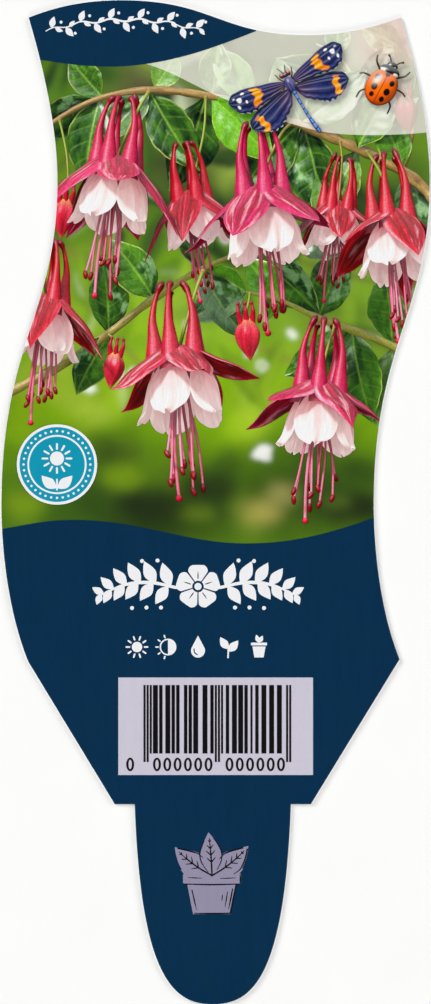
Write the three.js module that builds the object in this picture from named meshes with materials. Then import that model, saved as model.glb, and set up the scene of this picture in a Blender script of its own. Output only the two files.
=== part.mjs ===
// Stick-in plant label: one die-cut sheet of printed plastic, lying on its back.
// Millimetres, +Z up. The origin is the centre of the label's outline on its
// underside; +X runs across the label and +Y along it, from the stake to the head.
import * as THREE from "three";

// ---- driving dimensions (mm) ----
const THICKNESS = 0.5; // the plastic sheet
const WAVE_SHIFT = 63.44; // the right side is the left side moved across by this, so labels nest when cut
const HALF_LENGTH = 85.53; // the outline runs from -HALF_LENGTH to +HALF_LENGTH along Y
const WAIST_X = -26.95; // the left side's innermost line
const WAIST_Y = 54.73;
const BELLY_X = -36.49; // the left side's outermost line
const BELLY_Y = -0.64;
const SHOULDER_Y = -27.18; // where the left side turns in towards the stake
const SHOULDER_X = -31.9;
const STEP_Y = -51.44; // the square step at the top of the stake
const STAKE_CENTRE_X = -0.47;
const STEP_HALF_WIDTH = 16.71;
const STAKE_HALF_WIDTH = 13.31;
const TOP_CORNER_X = -31.85;
const TOP_CORNER_Y = 82.57;
const CREST_X = -16.11; // the top edge's high point
const TROUGH_X = 15.84; // and its low point
const TROUGH_Y = 79.59;
const POINTS_PER_CURVE = 22;

// ---- outline, anticlockwise from the top left corner ----
const outline = new THREE.Shape();
outline.moveTo(TOP_CORNER_X, TOP_CORNER_Y);
// left side: a slow S from the corner in to the waist, out to the belly, in to the shoulder
outline.bezierCurveTo(-29.23, 73.75, WAIST_X, 63.53, WAIST_X, WAIST_Y);
outline.bezierCurveTo(WAIST_X, 31.83, BELLY_X, 27.66, BELLY_X, BELLY_Y);
outline.bezierCurveTo(BELLY_X, -3.6, -36.23, -16.51, SHOULDER_X, SHOULDER_Y);
// straight chamfer, step, stake
outline.lineTo(STAKE_CENTRE_X - STEP_HALF_WIDTH, STEP_Y);
outline.lineTo(STAKE_CENTRE_X - STAKE_HALF_WIDTH, STEP_Y);
outline.bezierCurveTo(
  STAKE_CENTRE_X - 12.27, -81.0,
  STAKE_CENTRE_X - 6.75, -HALF_LENGTH,
  STAKE_CENTRE_X, -HALF_LENGTH,
);
outline.bezierCurveTo(
  STAKE_CENTRE_X + 6.75, -HALF_LENGTH,
  STAKE_CENTRE_X + 12.27, -81.0,
  STAKE_CENTRE_X + STAKE_HALF_WIDTH, STEP_Y,
);
outline.lineTo(STAKE_CENTRE_X + STEP_HALF_WIDTH, STEP_Y);
outline.lineTo(31.35, -26.76);
// right side: the same S, moved across
outline.bezierCurveTo(27.21, -16.31, BELLY_X + WAVE_SHIFT, -3.6, BELLY_X + WAVE_SHIFT, BELLY_Y);
outline.bezierCurveTo(BELLY_X + WAVE_SHIFT, 27.66, WAIST_X + WAVE_SHIFT, 31.83, WAIST_X + WAVE_SHIFT, WAIST_Y);
outline.bezierCurveTo(WAIST_X + WAVE_SHIFT, 63.53, WAVE_SHIFT - 29.23, 73.75, WAVE_SHIFT + TOP_CORNER_X, TOP_CORNER_Y);
// top edge: one wave, trough on the right and crest on the left
outline.bezierCurveTo(28.35, 81.43, 23.07, TROUGH_Y, TROUGH_X, TROUGH_Y);
outline.bezierCurveTo(0.52, TROUGH_Y, -0.34, HALF_LENGTH, CREST_X, HALF_LENGTH);
outline.bezierCurveTo(-23.77, HALF_LENGTH, -28.8, 83.76, TOP_CORNER_X, TOP_CORNER_Y);

const sheet = new THREE.Mesh(
  new THREE.ExtrudeGeometry(outline, {
    depth: THICKNESS,
    bevelEnabled: false,
    curveSegments: POINTS_PER_CURVE,
  }),
  new THREE.MeshStandardMaterial({ color: 0x0c304d, roughness: 0.38, metalness: 0 }),
);
sheet.name = "label_sheet";

const label = new THREE.Group();
label.name = "plant_label";
label.add(sheet);

export default label;
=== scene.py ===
"""A stick-in plant label: one die-cut sheet of white plastic, printed on its front, lying on its back.

Metres, +Z up. The origin is the middle of the label's outline on its underside, +X runs across the label
and +Y along it from the stake to the head. Places on the print are worked out in a picture space of its
own, in which one unit is K metres: X to the right, Y up and Z towards the viewer.
"""
import math

import bpy
import numpy as np
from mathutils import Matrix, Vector
from mathutils import geometry as mgeo
from mathutils.bvhtree import BVHTree


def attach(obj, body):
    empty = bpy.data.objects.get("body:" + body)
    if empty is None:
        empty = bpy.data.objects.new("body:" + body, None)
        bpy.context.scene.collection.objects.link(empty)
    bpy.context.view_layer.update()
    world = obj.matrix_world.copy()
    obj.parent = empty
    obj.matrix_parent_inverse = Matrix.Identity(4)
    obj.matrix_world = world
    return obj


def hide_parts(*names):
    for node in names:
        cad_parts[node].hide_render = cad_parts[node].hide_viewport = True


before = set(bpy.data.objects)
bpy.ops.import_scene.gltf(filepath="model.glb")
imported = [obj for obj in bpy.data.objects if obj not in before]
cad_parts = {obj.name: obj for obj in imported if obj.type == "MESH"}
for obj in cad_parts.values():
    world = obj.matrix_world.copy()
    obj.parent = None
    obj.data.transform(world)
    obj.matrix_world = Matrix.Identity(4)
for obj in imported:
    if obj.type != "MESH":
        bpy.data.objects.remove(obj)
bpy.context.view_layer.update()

K = 0.17036e-3      # metres to a unit of picture space
X0, Y0 = 215.55, 502.25  # picture space x and y (down) of the origin
TOP = 0.0005        # the sheet's upper face
INK = 0.000006      # thickness of a layer of ink

rng = np.random.default_rng(20)


# ------------------------------------------------------------------ curves and outlines
def bezier(a, b, c, d, n=64):
    t = np.linspace(0, 1, n)[:, None]
    a, b, c, d = (np.array(p, float) for p in (a, b, c, d))
    return (1 - t) ** 3 * a + 3 * (1 - t) ** 2 * t * b + 3 * (1 - t) * t * t * c + t ** 3 * d


def chain(*parts):
    out = [parts[0]]
    for p in parts[1:]:
        out.append(p[1:] if np.hypot(*(p[0] - out[-1][-1])) < 1e-6 else p)
    return np.vstack(out)


def from_mm(p):
    """Millimetres in the row frame to picture space."""
    p = np.array(p, float) / (K * 1000)
    return p + np.array([X0, -Y0])


def to_m(co, z):
    """Picture space to metres in the row frame, z given in metres."""
    out = np.empty((len(co), 3))
    out[:, 0] = (co[:, 0] - X0) * K
    out[:, 1] = (co[:, 1] + Y0) * K
    out[:, 2] = z
    return out


SHIFT, HALF = 63.44, 85.53
WAIST, BELLY = (-26.95, 54.73), (-36.49, -0.64)
C, STEP, SHOULDER = -0.47, -51.44, (-31.9, -27.18)
CORNER = (-31.85, 82.57)


def mm(*p):
    return bezier(*[from_mm(q) for q in p], n=90)


left_side = chain(
    mm(CORNER, (-29.23, 73.75), (WAIST[0], 63.53), WAIST),
    mm(WAIST, (WAIST[0], 31.83), (BELLY[0], 27.66), BELLY),
    mm(BELLY, (BELLY[0], -3.6), (-36.23, -16.51), SHOULDER),
)
stake = chain(
    np.array([from_mm((C - 16.71, STEP)), from_mm((C - 13.31, STEP))]),
    mm((C - 13.31, STEP), (C - 12.27, -81.0), (C - 6.75, -HALF), (C, -HALF)),
    mm((C, -HALF), (C + 6.75, -HALF), (C + 12.27, -81.0), (C + 13.31, STEP)),
    np.array([from_mm((C + 13.31, STEP)), from_mm((C + 16.71, STEP))]),
)
right_side = chain(
    mm((31.35, -26.76), (27.21, -16.31), (BELLY[0] + SHIFT, -3.6), (BELLY[0] + SHIFT, BELLY[1])),
    mm((BELLY[0] + SHIFT, BELLY[1]), (BELLY[0] + SHIFT, 27.66), (WAIST[0] + SHIFT, 31.83), (WAIST[0] + SHIFT, WAIST[1])),
    mm((WAIST[0] + SHIFT, WAIST[1]), (WAIST[0] + SHIFT, 63.53), (SHIFT - 29.23, 73.75), (SHIFT + CORNER[0], CORNER[1])),
)
top_edge = chain(
    mm((SHIFT + CORNER[0], CORNER[1]), (28.35, 81.43), (23.07, 79.59), (15.84, 79.59)),
    mm((15.84, 79.59), (0.52, 79.59), (-0.34, HALF), (-16.11, HALF)),
    mm((-16.11, HALF), (-23.77, HALF), (-28.8, 83.76), CORNER),
)
outline = chain(left_side, stake, right_side, top_edge)[:-1]

LEFT = left_side[left_side[:, 1].argsort()]
RIGHT = right_side[right_side[:, 1].argsort()]
TOPE = top_edge[top_edge[:, 0].argsort()]


def left_x(y):
    return np.interp(y, LEFT[:, 1], LEFT[:, 0])


def right_x(y):
    return np.interp(y, RIGHT[:, 1], RIGHT[:, 0])


def top_y(x):
    return np.interp(x, TOPE[:, 0], TOPE[:, 1])


def down(*p):
    """A curve through Bezier points given with y down."""
    return bezier(*[(x, -y) for x, y in p], n=80)


# the wave between the picture and the lower field, the corner field's lower edge, and the pale band's
WAVE = chain(
    down((-6.0, 530.7), (1.5, 529.2), (0.8, 529.3), (1.6, 529.1)),
    down((1.6, 529.1), (41.62, 521.9), (49.81, 520.0), (75, 520.0)),
    down((75, 520.0), (141.48, 520.0), (185.24, 543.5), (246, 543.5)),
    down((246, 543.5), (272.37, 543.5), (310.07, 541.4), (374.4, 517.4)),
    down((374.4, 517.4), (378, 516.0), (384, 513.7), (390, 511.4)),
)
LENS = chain(
    down((30.0, 58.7), (33, 59.0), (37, 59.3), (40.5, 59.7)),
    down((40.5, 59.7), (49.6, 60.6), (74.85, 66.5), (110, 66.5)),
    down((110, 66.5), (169.56, 66.5), (222.29, 44.2), (256.0, 31.0)),
)
BAND = np.array([(140.0, -62.2), (145.7, -63.8), (176.0, -75.6), (203.4, -89.3), (236.4, -103.9), (274.9, -118.2),
                 (324.3, -131.9), (375.0, -135.0), (423.3, -132.8), (436.0, -131.5)])


def smooth_line(p, n=200):
    """A natural cubic through p, as y over x."""
    x, y = p[:, 0], p[:, 1]
    h = np.diff(x)
    a = np.zeros((len(x), len(x)))
    r = np.zeros(len(x))
    a[0, 0] = a[-1, -1] = 1
    for i in range(1, len(x) - 1):
        a[i, i - 1:i + 2] = h[i - 1], 2 * (h[i - 1] + h[i]), h[i]
        r[i] = 6 * ((y[i + 1] - y[i]) / h[i] - (y[i] - y[i - 1]) / h[i - 1])
    m = np.linalg.solve(a, r)
    xs = np.linspace(x[0], x[-1], n)
    i = np.clip(np.searchsorted(x, xs) - 1, 0, len(h) - 1)
    t, u = xs - x[i], x[i + 1] - xs
    ys = (m[i] * u ** 3 + m[i + 1] * t ** 3) / (6 * h[i]) + (y[i] / h[i] - m[i] * h[i] / 6) * u + (y[i + 1] / h[i] - m[i + 1] * h[i] / 6) * t
    return np.stack([xs, ys], 1)


BAND = smooth_line(BAND)


def wave_y(x):
    return np.interp(x, WAVE[:, 0], WAVE[:, 1])


def lens_y(x):
    return np.interp(x, LENS[:, 0], LENS[:, 1])


def band_y(x):
    return np.interp(x, BAND[:, 0], BAND[:, 1], left=0)


# ------------------------------------------------------------------ small mesh tools
def offset(poly, d):
    """A closed anticlockwise outline moved inwards by d, with mitred corners."""
    e = np.roll(poly, -1, 0) - poly
    e /= np.linalg.norm(e, axis=1)[:, None]
    n = np.stack([-e[:, 1], e[:, 0]], 1)  # points inwards
    before = np.roll(n, 1, 0)
    m = (n + before) / np.maximum(1 + (n * before).sum(1), 0.2)[:, None]
    return poly + m * d


def signed_area(p):
    x, y = p[:, 0], p[:, 1]
    return 0.5 * float((x * np.roll(y, -1) - np.roll(x, -1) * y).sum())


def fill(loops, step=None):
    """Triangles that fill a region bounded by closed loops (picture space, any winding; holes by even-odd rule).
    With step, the inside has a grid of points that far apart as well."""
    pts, edges = [], []
    for lp in loops:
        k = len(pts)
        pts += [Vector(p[:2]) for p in lp]
        edges += [(k + i, k + (i + 1) % len(lp)) for i in range(len(lp))]
    if step:
        lo, hi = np.min([np.min(l, 0) for l in loops], 0), np.max([np.max(l, 0) for l in loops], 0)
        gx, gy = np.meshgrid(np.arange(lo[0], hi[0], step), np.arange(lo[1], hi[1], step))
        q = np.stack([gx.ravel(), gy.ravel()], 1)
        q[:, 0] += 0.13 * step * np.sin(q[:, 1] * 1.7)
        q = q[inside(q, loops) & (clearance(q, loops) > 0.45 * step)]
        pts += [Vector(p) for p in q]
    co, _, faces, _, _, _ = mgeo.delaunay_2d_cdt(pts, edges, [], 0, 1e-6)
    co = np.array([tuple(p) for p in co])
    tri = np.array([f for f in faces if len(f) == 3], int)
    mid = co[tri].mean(1)
    tri = tri[inside(mid, loops)]
    a, b, c = co[tri[:, 0]], co[tri[:, 1]], co[tri[:, 2]]
    area = (b[:, 0] - a[:, 0]) * (c[:, 1] - a[:, 1]) - (b[:, 1] - a[:, 1]) * (c[:, 0] - a[:, 0])
    tri[area < 0] = tri[area < 0][:, ::-1]
    return compact(co, tri[np.abs(area) > 1e-9])


def inside(q, loops):
    odd = np.zeros(len(q), bool)
    for lp in loops:
        a, b = lp, np.roll(lp, -1, 0)
        for i in range(0, len(q), 4000):
            x, y = q[i:i + 4000, 0][:, None], q[i:i + 4000, 1][:, None]
            cross = (a[:, 1] > y) != (b[:, 1] > y)
            with np.errstate(divide="ignore", invalid="ignore"):
                xc = a[:, 0] + (y - a[:, 1]) * (b[:, 0] - a[:, 0]) / (b[:, 1] - a[:, 1])
            odd[i:i + 4000] ^= ((cross & (x < xc)).sum(1) % 2).astype(bool)
    return odd


def clearance(q, loops):
    best = np.full(len(q), 1e9)
    for lp in loops:
        for i in range(0, len(q), 2000):
            d = np.linalg.norm(q[i:i + 2000][:, None] - lp[None], axis=2).min(1)
            best[i:i + 2000] = np.minimum(best[i:i + 2000], d)
    return best


def compact(co, tri, *more):
    used, tri2 = np.unique(tri, return_inverse=True)
    return (co[used], tri2.reshape(-1, 3), *[m[used] for m in more])


def clip(co, tri, f, att=None):
    """The part of a triangle mesh where f, one number per vertex, is at least 0. att holds more columns per vertex."""
    att = np.zeros((len(co), 0)) if att is None else att
    if not len(tri):
        return co, tri, att
    s = f >= 0
    k = s[tri].sum(1)
    keep = [tri[k == 3]]
    t1, t2 = tri[k == 1], tri[k == 2]
    pairs = []

    def turned(t, first):
        r = np.arange(len(t))
        return t[r, first], t[r, (first + 1) % 3], t[r, (first + 2) % 3]

    if len(t1):
        a, b, c = turned(t1, s[t1].argmax(1))
        pairs += [np.stack([a, b], 1), np.stack([a, c], 1)]
    if len(t2):
        d, e, g = turned(t2, (~s[t2]).argmax(1))
        pairs += [np.stack([e, d], 1), np.stack([g, d], 1)]
    if pairs:
        flat = np.vstack(pairs)
        uniq, inv = np.unique(flat, axis=0, return_inverse=True)
        inv = inv.ravel()
        fi, fo = f[uniq[:, 0]], f[uniq[:, 1]]
        w = np.clip(fi / np.maximum(fi - fo, 1e-12), 0, 1)[:, None]
        new = co[uniq[:, 0]] * (1 - w) + co[uniq[:, 1]] * w
        newa = att[uniq[:, 0]] * (1 - w) + att[uniq[:, 1]] * w
        base = len(co)
        inv = inv + base
        at = 0
        if len(t1):
            ab, ac = inv[at:at + len(t1)], inv[at + len(t1):at + 2 * len(t1)]
            at += 2 * len(t1)
            keep.append(np.stack([a, ab, ac], 1))
        if len(t2):
            ed, gd = inv[at:at + len(t2)], inv[at + len(t2):at + 2 * len(t2)]
            keep.append(np.stack([ed, e, g], 1))
            keep.append(np.stack([ed, g, gd], 1))
        co, att = np.vstack([co, new]), np.vstack([att, newa])
    tri = np.vstack(keep)
    if not len(tri):
        return co[:0], tri, att[:0]
    p = co[tri][:, :, :2]
    area = (p[:, 1, 0] - p[:, 0, 0]) * (p[:, 2, 1] - p[:, 0, 1]) - (p[:, 1, 1] - p[:, 0, 1]) * (p[:, 2, 0] - p[:, 0, 0])
    tri = tri[np.abs(area) > 1e-7]
    if not len(tri):
        return co[:0], tri, att[:0]
    return compact(co, tri, att)


def prism(co, tri, low, high):
    """A closed plate over a filled region, in metres."""
    n = len(co)
    v = np.vstack([to_m(co, high), to_m(co, low)])
    e = np.vstack([tri[:, [0, 1]], tri[:, [1, 2]], tri[:, [2, 0]]])
    key = {}
    for a, b in e.tolist():
        key[(a, b)] = 1
    rim = np.array([(a, b) for a, b in key if (b, a) not in key], int).reshape(-1, 2)
    walls = [[b, a, a + n, b + n] for a, b in rim.tolist()]
    return v, tri.tolist() + (tri[:, ::-1] + n).tolist() + walls


def add_piece(name, v, faces, mats, index=None, colour=None, uv=None, smooth=False):
    me = bpy.data.meshes.new(name)
    me.from_pydata(np.asarray(v).tolist(), [], faces if isinstance(faces, list) else faces.tolist())
    for m in mats:
        me.materials.append(m)
    if index is not None:
        me.polygons.foreach_set("material_index", np.asarray(index, np.int32))
    if colour is not None:
        at = me.attributes.new("ink", "FLOAT_COLOR", "POINT")
        c4 = np.ones((len(v), 4), np.float32)
        c4[:, :3] = colour
        at.data.foreach_set("color", c4.ravel())
    if uv is not None:
        at = me.attributes.new("grain", "FLOAT_VECTOR", "POINT")
        g = np.zeros((len(v), 3), np.float32)
        g[:, :uv.shape[1]] = uv
        at.data.foreach_set("vector", g.ravel())
    # the map that a bake uses: straight down on the print
    lay = me.uv_layers.new(name="OFBake")
    co = np.asarray(v)
    lo, hi = co[:, :2].min(0), co[:, :2].max(0)
    side = max(float((hi - lo).max()), 1e-6)
    corner = np.empty(len(me.loops), np.int32)
    me.loops.foreach_get("vertex_index", corner)
    lay.data.foreach_set("uv", (((co[corner, :2] - lo) / side) * 0.96 + 0.02).astype(np.float32).ravel())
    me.polygons.foreach_set("use_smooth", [bool(smooth)] * len(me.polygons))
    me.update()
    ob = bpy.data.objects.new(name, me)
    bpy.context.scene.collection.objects.link(ob)
    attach(ob, "root")
    return ob


# ------------------------------------------------------------------ materials
def lin(*c):
    """sRGB 0 to 255 to linear."""
    c = np.array(c, float) / 255
    return np.where(c <= 0.04045, c / 12.92, ((c + 0.055) / 1.055) ** 2.4)


LIGHT = 1.10  # what the studio light makes of a surface of albedo 1; colours are divided by it


VEIL = 0.0033  # and what its gloss adds, seen from straight above


def ink_colour(*c):
    return tuple(float(x) for x in np.clip((lin(*c) - VEIL) / LIGHT, 0.0004, 0.95)) + (1.0,)


def new_material(name, rough=0.42, specular=0.3):
    m = bpy.data.materials.new(name)
    m.use_nodes = True
    nt = m.node_tree
    b = nt.nodes["Principled BSDF"]
    b.inputs["Roughness"].default_value = rough
    b.inputs["Specular IOR Level"].default_value = specular
    return m, nt, b


def node(nt, kind, **values):
    n = nt.nodes.new(kind)
    for k, v in values.items():
        if k in n.inputs:
            n.inputs[k].default_value = v
        else:
            setattr(n, k, v)
    return n


def noise(nt, scale, detail=2.0, rough=0.5, vector=None, distortion=0.0):
    n = node(nt, "ShaderNodeTexNoise")
    n.inputs["Scale"].default_value = scale
    n.inputs["Detail"].default_value = detail
    n.inputs["Roughness"].default_value = rough
    n.inputs["Distortion"].default_value = distortion
    if vector is None:
        tc = nt.nodes.get("Texture Coordinate") or nt.nodes.new("ShaderNodeTexCoord")
        vector = tc.outputs["Object"]
    nt.links.new(vector, n.inputs["Vector"])
    return n.outputs["Fac"]


def ramp(nt, fac, stops, mode="LINEAR"):
    r = node(nt, "ShaderNodeValToRGB")
    r.color_ramp.interpolation = mode
    el = r.color_ramp.elements
    while len(el) > 1:
        el.remove(el[-1])
    el[0].position, el[0].color = stops[0][0], stops[0][1]
    for p, c in stops[1:]:
        e = el.new(p)
        e.color = c
    nt.links.new(fac, r.inputs["Fac"])
    return r.outputs["Color"]


def remap(nt, value, a, b, c, d):
    n = node(nt, "ShaderNodeMapRange")
    for k, v in zip(("From Min", "From Max", "To Min", "To Max"), (a, b, c, d)):
        n.inputs[k].default_value = v
    nt.links.new(value, n.inputs["Value"])
    return n.outputs["Result"]


def mix(nt, kind, fac, a, b):
    n = node(nt, "ShaderNodeMix")
    n.data_type, n.blend_type = "RGBA", kind
    for s, v in ((n.inputs[0], fac), (n.inputs[6], a), (n.inputs[7], b)):
        if isinstance(v, bpy.types.NodeSocket):
            nt.links.new(v, s)
        else:
            s.default_value = v
    return n.outputs[2]


def satin(nt, b, bump_scale=5200.0, bump=0.05, rough=(0.285, 0.315)):
    """The varnish on the print: a little orange peel and a slightly uneven sheen."""
    fine = noise(nt, bump_scale, 3.0, 0.55)
    bp = node(nt, "ShaderNodeBump")
    bp.inputs["Strength"].default_value = bump
    bp.inputs["Distance"].default_value = 0.00002
    nt.links.new(fine, bp.inputs["Height"])
    nt.links.new(bp.outputs["Normal"], b.inputs["Normal"])
    broad = noise(nt, 150.0, 3.0, 0.6)
    nt.links.new(remap(nt, broad, 0.3, 0.7, *rough), b.inputs["Roughness"])


def solid_ink(name, rgb, vary=0.06, specular=0.3):
    """One ink laid down flat: a trace of mottle and of roller streak along the sheet."""
    m, nt, b = new_material(name, specular=specular)
    base = np.array(ink_colour(*rgb)[:3])
    lo, hi = tuple(base * (1 - vary)) + (1.0,), tuple(np.clip(base * (1 + vary), 0, 1)) + (1.0,)
    tc = node(nt, "ShaderNodeTexCoord")
    tc.name = "Texture Coordinate"
    mp = node(nt, "ShaderNodeMapping")
    mp.inputs["Scale"].default_value = (900.0, 90.0, 1.0)
    nt.links.new(tc.outputs["Object"], mp.inputs["Vector"])
    streak = noise(nt, 1.0, 3.0, 0.6, vector=mp.outputs["Vector"])
    mottle = noise(nt, 2600.0, 4.0, 0.6)
    both = node(nt, "ShaderNodeMath", operation="ADD")
    nt.links.new(streak, both.inputs[0])
    nt.links.new(mottle, both.inputs[1])
    nt.links.new(ramp(nt, remap(nt, both.outputs[0], 0.75, 1.25, 0, 1), [(0.0, lo), (1.0, hi)]), b.inputs["Base Color"])
    satin(nt, b)
    return m


def picture_ink(name, vary=0.05, specular=0.3):
    """The four-colour picture: its colours come from the mesh, with a fine print grain over them."""
    m, nt, b = new_material(name, specular=specular)
    at = node(nt, "ShaderNodeAttribute", attribute_name="ink")
    g = noise(nt, 5200.0, 2.0, 0.6)
    lo, hi = (1 - vary,) * 3 + (1.0,), (1 + vary,) * 3 + (1.0,)
    col = mix(nt, "MULTIPLY", 1.0, at.outputs["Color"], ramp(nt, g, [(0.3, lo), (0.7, hi)]))
    nt.links.new(col, b.inputs["Base Color"])
    satin(nt, b)
    return m


NAVY = (12, 48, 77)
m_navy = solid_ink("navy_ink", NAVY)
m_white = solid_ink("white_ink", (240, 240, 242), 0.02)
m_panel = solid_ink("pale_lavender_ink", (203, 199, 213), 0.025)
m_black = solid_ink("black_ink", (20, 20, 22), 0.1)
m_teal = solid_ink("teal_ink", (20, 150, 178), 0.04)
m_mauve = solid_ink("mauve_grey_ink", (147, 142, 166), 0.03)
m_picture = picture_ink("picture_inks")
m_ground = picture_ink("soft_ground_inks", 0.035)
m_washed = picture_ink("pale_band_inks", 0.02)


def detailed_ink(name, scale, lo, hi, detail=3.0, distortion=0.4, vary=0.05, speck=0.0):
    """Picture inks with fine drawn texture that runs along the leaf, petal or stem, over the colours in the mesh."""
    m, nt, b = new_material(name)
    at = node(nt, "ShaderNodeAttribute", attribute_name="ink")
    gr = node(nt, "ShaderNodeAttribute", attribute_name="grain")
    mp = node(nt, "ShaderNodeMapping")
    mp.inputs["Scale"].default_value = scale
    nt.links.new(gr.outputs["Vector"], mp.inputs["Vector"])
    t = noise(nt, 1.0, detail, 0.62, vector=mp.outputs["Vector"], distortion=distortion)
    col = mix(nt, "MULTIPLY", 1.0, at.outputs["Color"], ramp(nt, t, [(0.32, lo), (0.68, hi)]))
    if speck:
        t = noise(nt, 0.62, 3.0, 0.7, vector=gr.outputs["Vector"], distortion=0.2)
        col = mix(nt, "MULTIPLY", 1.0, col, ramp(nt, t, [(0.36, (1 - speck,) * 3 + (1.0,)), (0.62, (1 + 0.9 * speck,) * 3 + (1.0,))]))
    g = noise(nt, 5200.0, 2.0, 0.6)
    col = mix(nt, "MULTIPLY", 1.0, col, ramp(nt, g, [(0.3, (1 - vary,) * 3 + (1.0,)), (0.7, (1 + vary,) * 3 + (1.0,))]))
    nt.links.new(col, b.inputs["Base Color"])
    satin(nt, b)
    return m


m_petal = detailed_ink("crimson_petal_inks", (0.10, 0.85, 1.0), (0.80, 0.76, 0.80, 1), (1.15, 1.22, 1.18, 1), speck=0.15)
m_pale_petal = detailed_ink("white_petal_inks", (0.12, 0.9, 1.0), (0.955, 0.925, 0.935, 1), (1.03, 1.03, 1.03, 1))
m_leaf = detailed_ink("leaf_inks", (0.30, 0.30, 1.0), (0.80, 0.83, 0.78, 1), (1.18, 1.16, 1.18, 1), 4.0, speck=0.16)
m_stem = detailed_ink("stem_inks", (0.12, 1.3, 1.0), (0.86, 0.86, 0.84, 1), (1.14, 1.12, 1.12, 1))
m_bark = detailed_ink("bark_inks", (0.35, 1.6, 1.0), (0.68, 0.66, 0.62, 1), (1.28, 1.26, 1.2, 1), 5.0)


def plastic():
    """White polypropylene: slightly milky, with the faint frost and long draw lines of an extruded sheet. The mesh's
    colours are the shade that the print on the front throws through it."""
    m, nt, b = new_material("white_plastic", specular=0.45)
    fine = noise(nt, 2100.0, 4.0, 0.6)
    col = ramp(nt, fine, [(0.35, (0.80, 0.80, 0.785, 1)), (0.65, (0.86, 0.86, 0.85, 1))])
    tc = nt.nodes["Texture Coordinate"]
    mp = node(nt, "ShaderNodeMapping")
    mp.inputs["Scale"].default_value = (620.0, 16.0, 1.0)
    nt.links.new(tc.outputs["Object"], mp.inputs["Vector"])
    drawn = noise(nt, 1.0, 4.0, 0.62, vector=mp.outputs["Vector"])
    col = mix(nt, "MULTIPLY", 1.0, col, ramp(nt, drawn, [(0.32, (0.968, 0.970, 0.972, 1)), (0.68, (1.0, 1.0, 1.0, 1))]))
    clouds = noise(nt, 75.0, 3.0, 0.55)
    col = mix(nt, "MULTIPLY", 1.0, col, ramp(nt, clouds, [(0.35, (0.978, 0.980, 0.984, 1)), (0.65, (1.0, 1.0, 1.0, 1))]))
    at = node(nt, "ShaderNodeAttribute", attribute_name="ink")
    nt.links.new(mix(nt, "MULTIPLY", 1.0, col, at.outputs["Color"]), b.inputs["Base Color"])
    b.inputs["Subsurface Weight"].default_value = 0.25
    b.inputs["Subsurface Radius"].default_value = (0.0006, 0.0006, 0.0005)
    b.inputs["Subsurface Scale"].default_value = 1.0
    satin(nt, b, 3000.0, 0.12, (0.4, 0.55))
    return m


m_plastic = plastic()

# ------------------------------------------------------------------ the sheet
rings = []
for d, z in ((0.04, 0.0), (0.012, 0.00001), (0.0, 0.00003), (0.0, 0.00045), (0.01, 0.00048), (0.03, 0.000494), (0.06, TOP)):
    rings.append(to_m(offset(outline, d / (K * 1000)), z))
n = len(outline)
sheet_v = np.vstack(rings)
sheet_f = [[k * n + i, k * n + (i + 1) % n, (k + 1) * n + (i + 1) % n, (k + 1) * n + i] for k in range(len(rings) - 1) for i in range(n)]


def cap(ring, start, flip):
    co, tri = fill([ring], 7.0 if flip else 16.0)
    back = {tuple(np.round(p, 5)): i for i, p in enumerate(ring)}
    ids, extra = [], []
    for p in co:
        i = back.get(tuple(np.round(p, 5)))
        if i is None:
            ids.append(("new", len(extra)))
            extra.append(p)
        else:
            ids.append(("rim", start + i))
    return co, tri, ids, extra


faces = list(sheet_f)
for k, z, flip in ((0, 0.0, True), (len(rings) - 1, TOP, False)):
    ring = offset(outline, (0.04 if k == 0 else 0.06) / (K * 1000))
    co, tri, ids, extra = cap(ring, k * n, flip)
    base = len(sheet_v)
    if extra:
        sheet_v = np.vstack([sheet_v, to_m(np.array(extra), z)])
    at = [base + i if kind == "new" else i for kind, i in ids]
    faces += [[at[i] for i in (t[::-1] if flip else t)] for t in tri.tolist()]
sheet = add_piece("label_sheet_body", sheet_v, faces, [m_plastic])
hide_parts("label_sheet")

# ------------------------------------------------------------------ the plain fields
EDGE = 0.012 / (K * 1000)
field = offset(outline, EDGE)
co, tri = fill([field], 9.0)
lco, ltri, _ = clip(co, tri, wave_y(co[:, 0]) - co[:, 1])
lco, ltri, _ = clip(lco, ltri, -400.0 - lco[:, 1])
add_piece("lower_field", *prism(lco, ltri, TOP, TOP + INK * 12), [m_navy])
co, tri = fill([field], 5.0)
uco, utri, _ = clip(co, tri, co[:, 1] - lens_y(co[:, 0]))
uco, utri, _ = clip(uco, utri, 256.0 - uco[:, 0])
uco, utri, _ = clip(uco, utri, uco[:, 1] + 75.0)
add_piece("corner_field", *prism(uco, utri, TOP, TOP + INK * 12), [m_navy])

# ------------------------------------------------------------------ the picture's surfaces
# Each leaf, petal and stem is worked out as a round, curved surface in picture space and lit there. It is then
# pressed almost flat, so that it lies on the sheet as ink and keeps only its outline, its order and its colours.
TOWARDS = np.array([0.0, 0.0, 1.0])
parts = []
lattice = rng.random((256, 256))


def unit(v):
    v = np.asarray(v, float)
    return v / np.maximum(np.linalg.norm(v, axis=-1, keepdims=True), 1e-9)


def vnoise(x, y):
    xi, yi = np.floor(x).astype(int), np.floor(y).astype(int)
    fx, fy = x - xi, y - yi
    fx, fy = fx * fx * (3 - 2 * fx), fy * fy * (3 - 2 * fy)

    def g(i, j):
        return lattice[(xi + i) & 255, (yi + j) & 255]

    return (g(0, 0) * (1 - fx) + g(1, 0) * fx) * (1 - fy) + (g(0, 1) * (1 - fx) + g(1, 1) * fx) * fy


def fbm(x, y, octaves=3):
    out, a, total = 0.0, 1.0, 0.0
    for i in range(octaves):
        out = out + a * vnoise(x * 2 ** i + 17.3 * i, y * 2 ** i + 5.1 * i)
        total += a
        a *= 0.55
    return out / total


def smooth(a, b, x):
    t = np.clip((x - a) / (b - a), 0, 1)
    return t * t * (3 - 2 * t)


def blend(a, b, t):
    t = np.asarray(t)[..., None]
    return np.asarray(a, float) * (1 - t) + np.asarray(b, float) * t


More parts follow.
